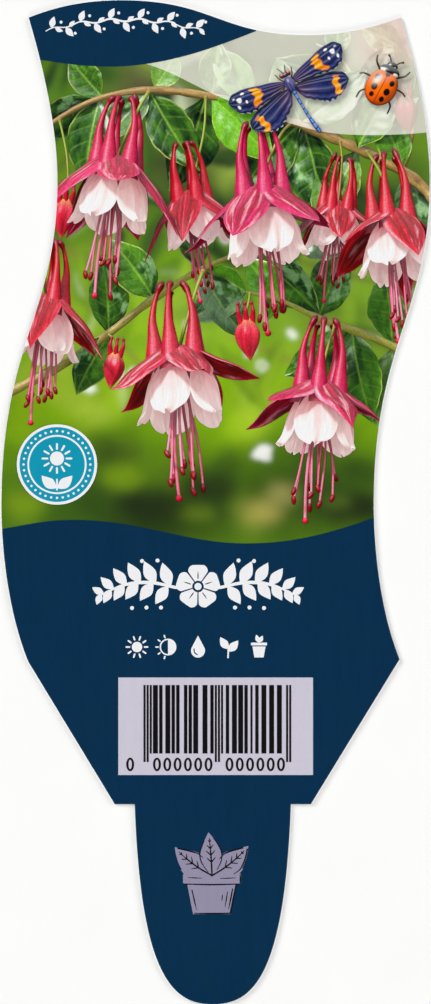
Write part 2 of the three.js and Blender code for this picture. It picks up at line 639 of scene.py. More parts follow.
def spline(points, n):
    """A Catmull-Rom line through points, evenly spaced."""
    p = np.array(points, float)
    p = np.vstack([2 * p[0] - p[1], p, 2 * p[-1] - p[-2]])
    out = []
    for i in range(1, len(p) - 2):
        t = np.linspace(0, 1, 24, endpoint=i == len(p) - 3)[:, None]
        a, b, c, d = p[i - 1], p[i], p[i + 1], p[i + 2]
        out.append(0.5 * (2 * b + (c - a) * t + (2 * a - 5 * b + 4 * c - d) * t * t + (3 * b - a - 3 * c + d) * t ** 3))
    q = np.vstack(out)
    s = np.r_[0, np.cumsum(np.linalg.norm(np.diff(q, axis=0), axis=1))]
    at = np.linspace(0, s[-1], n)
    return np.stack([np.interp(at, s, q[:, k]) for k in range(q.shape[1])], 1)


def along(s, *stops):
    """A value along s through (place, value) stops, smoothed."""
    x = np.array([p for p, _ in stops], float)
    y = np.array([v for _, v in stops], float)
    i = np.clip(np.searchsorted(x, s, side="right") - 1, 0, len(x) - 2)
    t = np.clip((s - x[i]) / (x[i + 1] - x[i]), 0, 1)
    d = np.gradient(y, x)
    h = x[i + 1] - x[i]
    return ((2 * t ** 3 - 3 * t * t + 1) * y[i] + (t ** 3 - 2 * t * t + t) * h * d[i]
            + (-2 * t ** 3 + 3 * t * t) * y[i + 1] + (t ** 3 - t * t) * h * d[i + 1])


def grid_triangles(nu, nv):
    i = np.arange(nu * nv).reshape(nu, nv)
    a, b, c, d = i[:-1, :-1].ravel(), i[1:, :-1].ravel(), i[1:, 1:].ravel(), i[:-1, 1:].ravel()
    return np.vstack([np.stack([a, b, c], 1), np.stack([a, c, d], 1)])


def part(group, kind, P, albedo, grain, through=0.0, gloss=0.0, sheen=0.0, z=0.0):
    nu, nv = P.shape[:2]
    P = P + np.array([0, 0, z])
    n = np.cross(np.gradient(P, axis=0), np.gradient(P, axis=1))
    n = unit(n)
    n[n[..., 2] < 0] *= -1
    bad = ~np.isfinite(n).all(-1) | (np.linalg.norm(n, axis=-1) < 0.5)
    n[bad] = TOWARDS
    flat = lambda a, k: np.broadcast_to(np.asarray(a, float), (nu, nv, k) if k > 1 else (nu, nv)).reshape(nu * nv, k) if k > 1 else np.broadcast_to(np.asarray(a, float), (nu, nv)).reshape(-1)
    parts.append({
        "group": group, "kind": kind, "co": P.reshape(-1, 3), "tri": grid_triangles(nu, nv), "n": n.reshape(-1, 3),
        "albedo": flat(albedo, 3), "grain": np.stack([flat(grain[0], 1), flat(grain[1], 1)], 1),
        "through": flat(through, 1), "gloss": flat(gloss, 1), "sheen": flat(sheen, 1), "shape": (nu, nv),
    })


def stem(group, points, radius, colour, kind="stem", gloss=0.25, nv=7, step=1.3, through=0.1, z=0.0, bumps=0.0, seed=0.0):
    """The viewer's half of a round stem through points. radius and colour are functions of the share of its length."""
    points = np.array(points, float)
    length = np.linalg.norm(np.diff(points, axis=0), axis=1).sum()
    nu = max(6, int(length / step))
    c = spline(points, nu)
    t = unit(np.gradient(c, axis=0))
    side = unit(np.cross(t, TOWARDS))
    front = np.cross(side, t)
    s = np.linspace(0, 1, nu)
    r = np.asarray(radius(s), float) * np.ones(nu)
    if bumps:
        r = r * (1 + bumps * (vnoise(s * length / 9.0 + seed, 0 * s + seed) - 0.5))
    th = np.linspace(-1, 1, nv) * np.pi / 2
    P = c[:, None] + r[:, None, None] * (side[:, None] * np.sin(th)[None, :, None] + front[:, None] * np.cos(th)[None, :, None])
    col = colour(s[:, None] * np.ones(nv), th[None, :] * np.ones((nu, 1)))
    part(group, kind, P, col, (s[:, None] * length * np.ones(nv), th[None, :] * r[:, None]), through, gloss, z=z)


def leaf(group, base, angle, length, width, lift=0.0, bend=0.0, roll=0.0, fold=0.35, curl=0.0, tone=0.5, z=0.0, seed=1.0, pale_edge=1.0, back=False):
    """An oval leaf. angle is its direction on the picture in degrees, lift how far it tips towards the viewer,
    bend how its line curves on the picture, roll how far its blade turns about its rib, in degrees."""
    nu, nv = max(24, int(length * 1.15)), max(17, int(width * 1.25) | 1)
    s = np.linspace(0, 1, nu)
    v = np.linspace(-1, 1, nv)
    a = np.radians(angle + bend * (s - 0.3))
    e = np.radians(lift - curl * s * 60)
    t = np.stack([np.cos(a) * np.cos(e), np.sin(a) * np.cos(e), np.sin(e)], 1)
    c = np.array([base[0], -base[1], 0.0]) + np.vstack([[0, 0, 0], np.cumsum(t[:-1] * (length / (nu - 1)), 0)])
    side0 = unit(np.cross(t, TOWARDS))
    up0 = np.cross(side0, t)
    w = np.radians(roll + 8 * np.sin(3 * s + seed))
    side = side0 * np.cos(w)[:, None] + up0 * np.sin(w)[:, None]
    up = up0 * np.cos(w)[:, None] - side0 * np.sin(w)[:, None]
    half = width / 2 * along(s, (0, 0.03), (0.06, 0.20), (0.2, 0.68), (0.42, 1.0), (0.65, 0.86), (0.85, 0.42), (0.95, 0.15), (1, 0.012))
    edge = 1 + 0.018 * np.sin(s * length / 2.4) * smooth(0.1, 0.2, s) * (1 - smooth(0.9, 1.0, s))
    ss, vv = s[:, None] * np.ones(nv), v[None, :] * np.ones((nu, 1))
    av = np.abs(vv)
    # lateral veins curve towards the tip
    ribs = 5.4 + 2.6 * (seed * 0.618 % 1)
    phase = ss * ribs - av * 0.62 - 0.25 * av * av + 0.45 * (vnoise(ss * 2.6 + seed, vv * 1.3 + 2 * seed) - 0.5)
    vein = np.exp(-((phase - np.round(phase)) / 0.06) ** 2) * smooth(0.0, 0.12, av) * (1 - smooth(0.82, 1.0, av))
    between = np.cos(phase * 2 * np.pi) * -1.0
    rib = np.exp(-(av * half[:, None] / 1.1) ** 2)
    rise = fold * av ** 1.25 * half[:, None] - 0.30 * fold * av ** 3 * half[:, None]
    rise = rise + 0.085 * between * smooth(0.05, 0.4, av) * (1 - smooth(0.8, 1, av)) * (width / 30.0)
    rise = rise + 2.6 * (vnoise(ss * 3 + seed, vv * 1.5 + seed) - 0.5) * (width / 26.0) * av
    P = c[:, None] + side[:, None] * (vv * half[:, None] * edge[:, None])[..., None] + up[:, None] * rise[..., None]
    deep, mid = lin(22, 50, 20), lin(82, 128, 40)
    if back:
        deep, mid = lin(62, 100, 42), lin(110, 146, 62)
    if tone > 0.8:  # a fresh leaf with light behind it
        deep, mid = lin(44, 88, 24), lin(90, 144, 40)
    mott = fbm(ss * 5 + seed * 3, vv * 3 + seed, 4)
    col = blend(deep, mid, np.clip(tone + 1.0 * (mott - 0.5) + 0.03 * between, 0, 1))
    patch = smooth(0.48, 0.66, fbm(ss * 3.1 + seed * 7, vv * 1.7 + 2 * seed, 3))
    col = blend(col, deep * 0.55, (0.50 if tone < 0.8 and not back else 0.15) * patch)
    wet = smooth(0.50, 0.70, fbm(ss * 7 + seed * 5, vv * 2.8 + seed * 2, 4)) * smooth(0.06, 0.25, av) * smooth(-0.15, 0.3, vv * (1 if int(seed * 10) % 2 else -1))
    col = blend(col, lin(160, 198, 150), (0.40 if not back else 0.12) * wet * smooth(0.05, 0.25, ss) * (1 - smooth(0.85, 1.0, ss)))
    col = blend(col, lin(150, 186, 84) if not back else lin(168, 190, 120), 0.13 * vein + 0.42 * rib * (1 - 0.6 * ss))
    rim = smooth(1 - 2.2 / np.maximum(half, 2.2), 1.0, av.T).T
    col = blend(col, lin(206, 214, 120), 0.42 * pale_edge * rim * smooth(0.05, 0.2, ss) * smooth(0.35, 0.8, vnoise(ss * 7 + seed, vv * 1.5)))
    part(group, "leaf", P, col, (ss * length, vv * half[:, None]), 0.30, 0.6 if not back else 0.2, z=z)


def blossom(name, at, size=1.0, lean=0.0, nod=12.0, turn=0.0, spread=1.0, seed=1.0, z=100.0, hue=0.0, longer=1.0, droop=1.0):
    """A nodding spurred blossom: five crimson sepals spread round five white, crimson-spurred petals, with a brush of
    stamens below. at is where its stalk ends, lean tips it on the picture, nod turns its mouth to the viewer."""
    r0 = np.random.default_rng(int(seed * 1000) + 7)
    ln, nd = np.radians(lean), np.radians(nod)
    a = np.array([np.sin(ln) * np.cos(nd), -np.cos(ln) * np.cos(nd), np.sin(nd)])
    e1 = unit(np.cross(a, TOWARDS))
    e2 = unit(np.cross(e1, a)) * -1.0
    e2 = np.cross(a, e1)
    o = np.array([at[0], -at[1], 0.0])

    def place(phi, r, t):
        return o + size * (r * np.cos(phi))[..., None] * e1 + size * (r * np.sin(phi))[..., None] * e2 + size * t[..., None] * a

    red, pink, dark = lin(148, 8, 16), lin(206, 38, 62), lin(80, 3, 10)
    red, pink = blend(red, lin(158, 10, 60), np.array(hue)), blend(pink, lin(214, 50, 112), np.array(hue))
    for k in range(5):
        phi0 = np.radians(72 * k + turn)
        # sepal
        ph = phi0 + np.radians(36) + r0.normal(0, 0.05)
        m, q = int(62 * size) + 10, int(25 * size) | 1
        s, v = np.linspace(0, 1, m), np.linspace(-1, 1, q)
        ss, vv = s[:, None] * np.ones(q), v[None, :] * np.ones((m, 1))
        reach, drop = (42 + r0.normal(0, 3.0)) * spread, (27 + r0.normal(0, 6.0)) * droop
        cr = along(s, (0, 1.5), (0.25, 0.26 * reach), (0.6, 0.68 * reach), (1, reach))
        ct = along(s, (0, -3.0), (0.2, -3.2), (0.5, 0.30 * drop), (0.8, 0.76 * drop), (1, drop + r0.normal(0, 2.5)))
        half = along(s, (0, 3.2), (0.15, 6.4), (0.40, 12.4), (0.60, 11.4), (0.80, 6.4), (0.93, 2.2), (1, 0.1))
        twist = np.radians(r0.normal(0, 13)) * s
        er = np.array([np.cos(ph), np.sin(ph)])
        c = o + size * (cr[:, None] * (er[0] * e1 + er[1] * e2)[None] + ct[:, None] * a[None])
        tan = unit(np.gradient(c, axis=0))
        sd = unit(-er[1] * e1 + er[0] * e2)
        up = np.cross(tan, sd)
        sdir = sd * np.cos(twist)[:, None] + up * np.sin(twist)[:, None]
        udir = np.cross(tan, sdir)
        wav = 0.9 * np.sin(ss * 9 + seed * 5 + k) * np.abs(vv) * (1 - ss)
        cup = -0.34 * vv ** 2 * half[:, None] + 0.55 * np.exp(-(vv / 0.16) ** 2) * (1 - ss) + wav
        P = c[:, None] + size * (sdir[:, None] * (vv * half[:, None])[..., None] - udir[:, None] * cup[..., None] * np.sign(np.dot(up[m // 2], a) + 1e-6))
        lines = 0.5 + 0.5 * np.cos(vv * 4.4 * np.pi + 0.5 * np.sin(ss * 5 + k))
        streak = fbm(ss * 3 + 9 * k, vv * 7 + seed * 3, 3)
        col = blend(red, dark, np.clip(0.50 * lines * smooth(0.0, 0.5, ss) * (1 - smooth(0.75, 1, ss)) + 0.9 * np.clip(0.55 - streak, 0, 1) + 0.22 * (1 - smooth(0.1, 0.6, np.abs(vv))), 0, 0.85))
        col = blend(col, pink, np.clip(0.45 * smooth(0.66, 1.0, np.abs(vv)) + 0.85 * smooth(0.54, 0.80, streak) + 0.20 * smooth(0.7, 1, ss), 0, 0.95))
        glint = smooth(0.60, 0.74, fbm(ss * 2.6 + 31 * k + seed, vv * 5 + 3.7 * k, 3)) * smooth(0.15, 0.4, ss) * (1 - smooth(0.85, 1.0, ss))
        rim = np.exp(-((np.abs(vv) - 0.90) / 0.07) ** 2) * smooth(0.45, 0.6, vnoise(ss * 3.3 + 5 * k, vv * 0.6 + 2.0 * k + seed))
        col = blend(col, lin(248, 178, 192), np.clip(0.36 * glint + 0.38 * rim, 0, 0.6))
        part(name + "_sepals", "petal", P, col, (ss * reach, vv * half[:, None]), 0.42, 0.36, 0.10, z=z)

        # spur
        m, q = int(52 * size) + 8, 11
        s = np.linspace(0, 1, m)
        cr = along(s, (0, 5.0), (0.1, 7.4), (0.35, 11.6), (0.7, 11.6), (1, 11.2)) + r0.normal(0, 0.5)
        ct = along(s, (0, -41 + r0.normal(0, 1.5)), (0.12, -37.5), (0.4, -22), (0.72, -6), (1, 10.5))
        rad = along(s, (0, 0.5), (0.04, 1.7), (0.09, 1.9), (0.16, 1.25), (0.3, 1.5), (0.6, 3.2), (0.85, 5.4), (1, 6.6))
        c = place(phi0 + 0 * s, cr, ct)
        t = unit(np.gradient(c, axis=0))
        sd = unit(np.cross(t, TOWARDS))
        fr = np.cross(sd, t)
        th = np.linspace(-1, 1, q) * np.pi / 2
        P = c[:, None] + size * rad[:, None, None] * (sd[:, None] * np.sin(th)[None, :, None] + fr[:, None] * np.cos(th)[None, :, None])
        ss, tt = s[:, None] * np.ones(q), th[None, :] * np.ones((m, 1))
        col = blend(blend(dark, red, smooth(0.0, 0.3, ss)), pink, 0.45 * smooth(0.35, 0.9, ss) * (0.4 + 0.6 * vnoise(ss * 5 + k, tt * 4)))
        col = blend(col, lin(220, 72, 96), 0.50 * smooth(0.84, 1.0, ss))
        part(name + "_spurs", "petal", P, col, (ss * 50, tt * 4), 0.25, 0.42, 0.1, z=z)

        # blade: wrapped round the axis
        m, q = int(36 * size) + 10, int(33 * size) | 1
        s, v = np.linspace(0, 1, m), np.linspace(-1, 1, q)
        ss, vv = s[:, None] * np.ones(q), v[None, :] * np.ones((m, 1))
        wid = 0.66 * np.where(ss < 0.5, along(ss.ravel(), (0, 0.62), (0.25, 0.86), (0.5, 1.0)).reshape(ss.shape), np.sqrt(np.clip(1 - ((ss - 0.5) / 0.505) ** 2, 0, 1)) ** 0.8)
        rad = along(ss.ravel(), (0, 13.0), (0.3, 17.6), (0.6, 19.6), (0.85, 21.0), (1, 23.0)).reshape(ss.shape)
        rad = rad - 1.6 * (1 - vv ** 2) * (1 - ss) + 1.4 * vv ** 2 * np.sin(np.pi * ss) + 1.3 * np.sin(vv * 5.5 + k * 2 + seed) * ss ** 1.5
        rad = rad + (0.9 if k % 2 else -0.9) * np.abs(vv) + 0.75 * np.sin(vv * 9 + 2 * k + seed + ss) * smooth(0.1, 0.6, ss)
        tt = 6.5 + 30.0 * ss * longer - 1.6 * vv ** 2 * (1 - ss) + 0.9 * np.sin(vv * 6 + 3 * k + seed) * ss
        P = place(phi0 + vv * wid, rad, tt)
        groove = np.exp(-(vv / 0.13) ** 2)
        fan = 0.5 + 0.5 * np.cos(vv * 9.0 * np.pi)
        col = blend(lin(246, 236, 236), lin(240, 190, 194), 0.60 * fan ** 3 * (1 - smooth(0.2, 0.95, ss)) + 0.35 * groove * (1 - smooth(0.3, 0.95, ss)))
        col = blend(col, lin(236, 170, 174), 0.75 * (1 - smooth(0.15, 0.95, ss + 0.10 * np.cos(vv * 5 * np.pi + k))))
        col = blend(col, lin(226, 112, 128), 0.85 * (1 - smooth(0.0, 0.42, ss + 0.05 * np.cos(vv * 7 * np.pi))))
        col = blend(col, lin(238, 208, 212), 0.45 * vnoise(ss * 3 + k * 3, vv * 3 + seed))
        part(name + "_petals", "pale_petal", P, col, (ss * 30, vv * 14), 0.60, 0.12, 0.1, z=z)

    # stamens and style
    count = 11
    for k in range(count):
        ph = 2 * np.pi * k / count + r0.normal(0, 0.3)
        rr = abs(r0.normal(6.4, 2.6))
        end = 64 + r0.normal(0, 6.0)
        if k == 0:
            end, rr = 79, 2.0
        m = 40
        s = np.linspace(0, 1, m)
        cr = along(s, (0, 1.5), (0.45, 2.8 + 0.45 * rr), (1, rr + 1.6)) + 0.9 * np.sin(s * 4 + k) * s
        ct = 6 + (end - 6) * s
        c = place(ph + 0.25 * s, cr, ct)
        c[:, 0] += 0.6 * size * np.sin(5 * s + k)
        pale, deep = lin(236, 130, 160), lin(196, 30, 70)
        tone = r0.random()
        stem(name + "_stamens", np.vstack([c[:-1:6], c[-1]]), lambda s: size * (0.62 if k else 0.86) * np.ones_like(s), lambda ss, th: blend(blend(deep, pale, np.array(tone * 0.8)), pale, 0.35 * np.cos(th) ** 4), "plain", 0.35, 5, 1.0, 0.3, z=z)
        d = unit(c[-1] - c[-6])
        swing = r0.normal(0, 0.35)
        d = unit(np.array([d[0] * np.cos(swing) - d[1] * np.sin(swing), d[0] * np.sin(swing) + d[1] * np.cos(swing), d[2]]))
        ln2 = size * (3.3 if k else 2.2)
        pts = [c[-1] - d * ln2 * 0.7, c[-1] + d * ln2 * 0.1, c[-1] + d * ln2]
        fat = size * (1.32 if k else 1.75)
        shade_ = lin(112, 10, 22) if k else lin(196, 30, 58)
        stem(name + "_anthers", pts, lambda s: fat * np.sqrt(np.clip(1 - (2 * s - 1) ** 2, 0.002, 1)), lambda ss, th: blend(shade_ * 0.45, shade_ * 1.4, np.cos(th) ** 2 * (0.6 + 0.4 * np.sin(ss * 3))), "plain", 0.22, 7, 0.5, 0.1, z=z + 0.5)
    return place


def bud(name, at, size=1.0, lean=0.0, seed=1.0, z=100.0, green=0.3):
    """A closed blossom: its sepals still wrapped over each other, with short spurs showing above."""
    ln = np.radians(lean)
    a = np.array([np.sin(ln), -np.cos(ln), 0.0])
    o = np.array([at[0], -at[1], 0.0])
    e1 = np.array([np.cos(ln), np.sin(ln), 0.0])
    m, q = int(44 * size) + 8, int(26 * size) | 1
    s, v = np.linspace(0, 1, m), np.linspace(-1, 1, q)
    ss, vv = s[:, None] * np.ones(q), v[None, :] * np.ones((m, 1))
    rad = along(s, (0, 1.6), (0.12, 5.0), (0.35, 9.3), (0.6, 8.4), (0.85, 3.6), (1, 0.2))
    th = vv * np.pi / 2
    ridge = 1 + 0.09 * np.cos(th * 5 + seed)
    P = o + size * ((rad[:, None] * np.sin(th) * ridge)[..., None] * e1 + (ss * 36)[..., None] * a + (rad[:, None] * np.cos(th) * ridge)[..., None] * TOWARDS)
    seam = np.exp(-((np.cos(th * 2.5 + seed * 2) ) / 0.16) ** 2)
    col = blend(lin(196, 22, 44), lin(120, 6, 26), 0.75 * seam * smooth(0.05, 0.3, ss))
    col = blend(col, lin(222, 90, 110), 0.35 * fbm(ss * 4 + seed, vv * 9, 3))
    col = blend(col, lin(150, 160, 60), green * (1 - smooth(0.0, 0.3, ss)) + green * 0.8 * smooth(0.85, 1, ss))
    part(name, "petal", P, col, (ss * 36, vv * 9), 0.25, 0.5, 0.2, z=z)
    for k in (-1, 0, 1):
        c = np.array([o + size * (k * 4.2) * e1 + size * 6 * a, o + size * (k * 6.0) * e1 - size * 4 * a + 2 * TOWARDS, o + size * (k * 5.0) * e1 - size * 12 * a])
        stem(name, c, lambda s: size * along(s, (0, 2.6), (0.5, 1.8), (0.82, 1.1), (0.92, 1.5), (1, 0.15)), lambda ss, th: blend(lin(190, 30, 50), lin(120, 10, 30), ss), "petal", 0.4, 7, 1.0, z=z + 2 - abs(k))


def stalk(name, points, width=1.3, z=60.0, red=0.4):
    def colour(ss, th):
        c = blend(lin(118, 142, 52), lin(140, 54, 48), np.clip(red + 0.6 * (fbm(ss * 6, th, 2) - 0.5) + 0.35 * smooth(0.5, 1, ss) - 0.15, 0, 1))
        c = blend(c, lin(206, 200, 150), 0.28 * np.cos(th - 0.5) ** 6)
        return blend(c, lin(122, 88, 54), 0.85 * np.exp(-(ss / 0.045) ** 2))

    stem(name, [(x, -y, 0.0) for x, y in points],
         lambda s: width * (1 + 0.25 * np.exp(-((s - 1) / 0.05) ** 2) + 0.95 * np.exp(-(s / 0.055) ** 2)) * np.sqrt(np.clip(s / 0.016, 0.03, 1)), colour, "stem", 0.3, 7, 0.9, z=z)


def branch(name, points, widths, z=40.0, seed=3.0, young=0.0):
    wood, lit, moss = lin(98, 68, 44), lin(184, 154, 102), lin(158, 164, 76)

    def colour(ss, th):
        g = fbm(ss * 26 + seed, th * 2.2 + seed, 3)
        c = blend(wood, lit, np.clip(0.15 + 0.95 * (g - 0.3), 0, 1))
        return blend(c, moss, np.clip(young + 0.5 * (fbm(ss * 5 + seed, 0 * th, 2) - 0.4), 0, 1))

    stem(name, [(p[0], -p[1], 0.0) for p in points], lambda s: along(s, *widths), colour, "bark", 0.22, 13, 1.2, z=z, bumps=0.35, seed=seed)

# ------------------------------------------------------------------ what the picture shows
branch("main_branch", [(440, 204), (404, 172), (356, 148), (300, 124), (246, 104), (196, 94), (150, 90), (104, 97), (66, 114), (30, 140)],
       ((0, 6.2), (0.3, 5.2), (0.6, 4.0), (0.85, 3.0), (1, 2.2)), z=44, seed=3.0)
branch("top_twig", [(360, 150), (364, 118), (356, 84), (338, 56), (316, 44)], ((0, 3.2), (0.5, 2.2), (1, 1.0)), z=34, seed=5.0, young=0.4)
branch("edge_twig", [(404, 172), (412, 130), (410, 80), (398, 34)], ((0, 3.0), (1, 1.2)), z=34, seed=6.0, young=0.2)
branch("lower_branch", [(10, 392), (60, 366), (108, 334), (152, 300), (200, 270), (246, 252), (290, 246)],
       ((0, 5.0), (0.4, 4.2), (0.75, 2.8), (1, 1.4)), z=30, seed=8.0, young=0.25)
branch("side_branch", [(430, 366), (392, 346), (352, 330), (318, 318), (280, 300), (246, 292)],
       ((0, 4.6), (0.5, 3.6), (1, 1.5)), z=26, seed=12.0, young=0.55)

LEAVES = [
    # group, x, y, angle, length, width, lift, bend, roll, fold, curl, tone, z
    ("leaves_a", 96, 98, 208, 74, 44, 8, -18, 18, 0.35, 0.3, 0.28, 36),
    ("leaves_a", 100, 98, 258, 92, 46, 10, 14, -26, 0.30, 0.4, 0.20, 40),
    ("leaves_a", 102, 96, 132, 52, 32, 5, -12, 10, 0.3, 0.2, 0.50, 34),
    ("leaves_b", 150, 91, 300, 96, 46, 10, 12, -16, 0.35, 0.3, 0.20, 38),
    ("leaves_b", 152, 90, 226, 72, 40, 6, 20, -34, 0.40, 0.2, 0.35, 28),
    ("leaves_b", 154, 89, 58, 46, 30, 0, 10, 0, 0.3, 0.2, 0.42, 36),
    ("leaves_c", 206, 95, 252, 104, 54, 6, -14, 22, 0.32, 0.3, 0.18, 20),
    ("leaves_c", 210, 96, 316, 92, 50, 14, -16, -26, 0.36, 0.35, 0.95, 43),
    ("leaves_c", 212, 95, 82, 56, 34, 4, 8, 12, 0.3, 0.1, 0.6, 40),
    ("leaves_d", 300, 124, 226, 96, 50, 10, 16, 26, 0.34, 0.3, 0.22, 26),
    ("leaves_d", 303, 125, 284, 108, 54, 12, -12, -20, 0.30, 0.4, 0.16, 22),
    ("leaves_d", 302, 122, 36, 84, 46, 6, 14, 14, 0.3, 0.2, 0.55, 48),
    ("leaves_d", 300, 122, 112, 70, 38, 6, -10, -12, 0.3, 0.2, 0.5, 46),
    ("leaves_e", 358, 148, 62, 76, 42, 8, -12, 16, 0.3, 0.3, 0.5, 50),
    ("leaves_e", 358, 150, 244, 98, 50, 12, 12, -26, 0.36, 0.4, 0.20, 28),
    ("leaves_e", 404, 172, 282, 92, 48, 10, -14, 22, 0.30, 0.3, 0.22, 34),
    ("leaves_e", 402, 170, 108, 66, 36, 6, 12, 0, 0.3, 0.2, 0.5, 46),
    ("leaves_f", 60, 366, 112, 82, 44, 8, -14, 18, 0.32, 0.3, 0.30, 24),
    ("leaves_f", 108, 334, 92, 78, 42, 12, 14, -24, 0.34, 0.3, 0.22, 20),
    ("leaves_f", 110, 334, 238, 70, 40, 8, 16, 22, 0.34, 0.3, 0.35, 26),
    ("leaves_g", 154, 299, 124, 74, 42, 10, 10, 14, 0.3, 0.3, 0.26, 22),
    ("leaves_g", 200, 270, 100, 84, 46, 8, -14, -20, 0.34, 0.3, 0.24, 16),
    ("leaves_g", 202, 270, 300, 84, 46, 10, 16, 24, 0.34, 0.4, 0.18, 22),
    ("leaves_h", 246, 252, 64, 88, 48, 12, 12, 22, 0.34, 0.3, 0.30, 18),
    ("leaves_h", 248, 252, 322, 96, 52, 8, -16, -20, 0.36, 0.35, 0.22, 20),
    ("leaves_h", 290, 246, 12, 84, 44, 10, 20, 14, 0.30, 0.3, 0.28, 24),
    ("leaves_h", 290, 246, 256, 78, 42, 4, -12, 26, 0.30, 0.3, 0.80, 14),
    ("leaves_i", 246, 292, 204, 66, 38, 10, 14, -18, 0.3, 0.3, 0.26, 16),
    ("leaves_i", 318, 318, 70, 80, 44, 8, 10, 22, 0.3, 0.3, 0.24, 12),
    ("leaves_i", 352, 330, 280, 96, 52, 12, 12, -24, 0.36, 0.4, 0.20, 18),
    ("leaves_i", 354, 330, 216, 84, 46, 6, -14, 24, 0.3, 0.3, 0.35, 14),
    ("leaves_j", 392, 346, 94, 80, 44, 10, 10, 16, 0.3, 0.3, 0.22, 16),
    ("leaves_j", 394, 346, 266, 100, 54, 8, 14, -22, 0.34, 0.4, 0.14, 22),
    ("leaves_k", 352, 78, 168, 78, 40, 8, -14, 20, 0.3, 0.3, 0.35, 38),
    ("leaves_k", 338, 56, 92, 40, 26, 4, 10, 0, 0.3, 0.2, 0.5, 36),
    ("leaves_k", 362, 108, 66, 74, 40, 8, -12, -20, 0.3, 0.3, 0.3, 36),
    ("leaves_k", 364, 120, 20, 60, 34, 6, 12, 18, 0.3, 0.3, 0.5, 40),
    ("leaves_k", 411, 100, 112, 70, 38, 8, -10, 16, 0.3, 0.3, 0.3, 38),
    ("leaves_k", 404, 50, 150, 52, 30, 6, 14, 10, 0.3, 0.3, 0.55, 40),
    ("leaves_k", 250, 106, 120, 72, 38, 8, 14, -18, 0.3, 0.3, 0.9, 36),
    ("leaves_j", 280, 300, 128, 56, 34, 10, 12, 0, 0.3, 0.3, 0.45, 20),
    ("leaves_j", 246, 292, 150, 48, 30, 8, 12, 10, 0.3, 0.3, 0.5, 18),
]
for i, (g, x, y, an, le, wi, li, be, ro, fo, cu, to, z) in enumerate(LEAVES):
    leaf(g, (x, y), an, le, wi, li, be, ro, fo, cu, to + (0.20 if g[-1] in "fgh" else 0.40 if g[-1] in "ij" else 0.05), z, seed=1.7 * i + 0.3, back=i % 9 == 5)

BLOSSOMS = [
    # name, x, y, size, lean, nod, turn, spread, droop, z, hue, stalk
    ("blossom_a", 116, 164, 1.72, -7, 14, 10, 1.00, 1.15, 130, 0.55, [(150, 90), (140, 106), (124, 140), (116, 163)]),
    ("blossom_b", 262, 194, 1.78, 5, 10, 44, 1.06, 0.90, 124, 0.85, [(292, 122), (280, 136), (266, 168), (262, 193)]),
    ("blossom_c", 392, 218, 1.62, 5, 18, 66, 1.00, 1.20, 146, 0.0, [(366, 150), (380, 172), (390, 198), (392, 217)]),
    ("blossom_d", 46, 302, 1.56, -5, 12, 28, 1.05, 1.00, 100, 0.0, [(14, 204), (30, 210), (42, 240), (46, 301)]),
    ("blossom_e", 178, 356, 1.86, 3, 16, 2, 1.06, 0.80, 160, 0.15, [(204, 269), (196, 290), (184, 330), (178, 355)]),
    ("blossom_f", 320, 388, 1.70, -4, 9, 58, 1.04, 1.00, 150, 0.60, [(336, 322), (330, 340), (322, 370), (320, 387)]),
    ("blossom_g", 190, 196, 1.34, 8, 6, 30, 1.00, 1.30, 88, 0.05, [(206, 95), (204, 130), (196, 168), (190, 195)]),
    ("blossom_h", 338, 206, 1.22, -6, 8, 12, 0.95, 1.25, 70, 0.0, [(340, 140), (342, 160), (340, 186), (338, 205)]),
]
for i, (nm, x, y, si, ln, nd, tn, sp, dr, z, hu, st) in enumerate(BLOSSOMS):
    stalk(nm + "_stalk", st, 0.85 * si, z=z - 8, red=0.35 + 0.3 * (i % 2))
    blossom(nm, (x, y), si, ln, nd, tn, sp, seed=1.3 * i + 0.7, z=z, hue=hu, droop=dr)
bud("bud_a", (246, 316), 1.25, 6, 1.0, z=90)
stalk("bud_a_stalk", [(250, 292), (249, 300), (247, 309), (246, 318)], 1.2, z=84)
bud("bud_b", (66, 196), 1.2, -7, 2.0, z=86, green=0.5)
stalk("bud_b_stalk", [(59, 117.5), (66, 150), (68, 176), (66, 198)], 1.1, z=80)
bud("bud_c", (404, 92), 1.2, 6, 3.0, z=70, green=0.5)
bud("bud_d", (116, 350), 1.1, -9, 4.0, z=92, green=0.6)
stalk("bud_d_stalk", [(108, 334), (113, 339), (116, 351)], 1.1, z=84)

# ------------------------------------------------------------------ two insects over the pale band
leafage = len(parts)
FLY = (290.0, 84.0, 118.0)  # where the four-winged one's thorax is, and which way it heads


def from_fly(forward, right, height=0.0):
    h = math.radians(FLY[2])
    return np.array([FLY[0] + forward * math.cos(h) + right * math.sin(h), -FLY[1] + forward * math.sin(h) - right * math.cos(h), height])


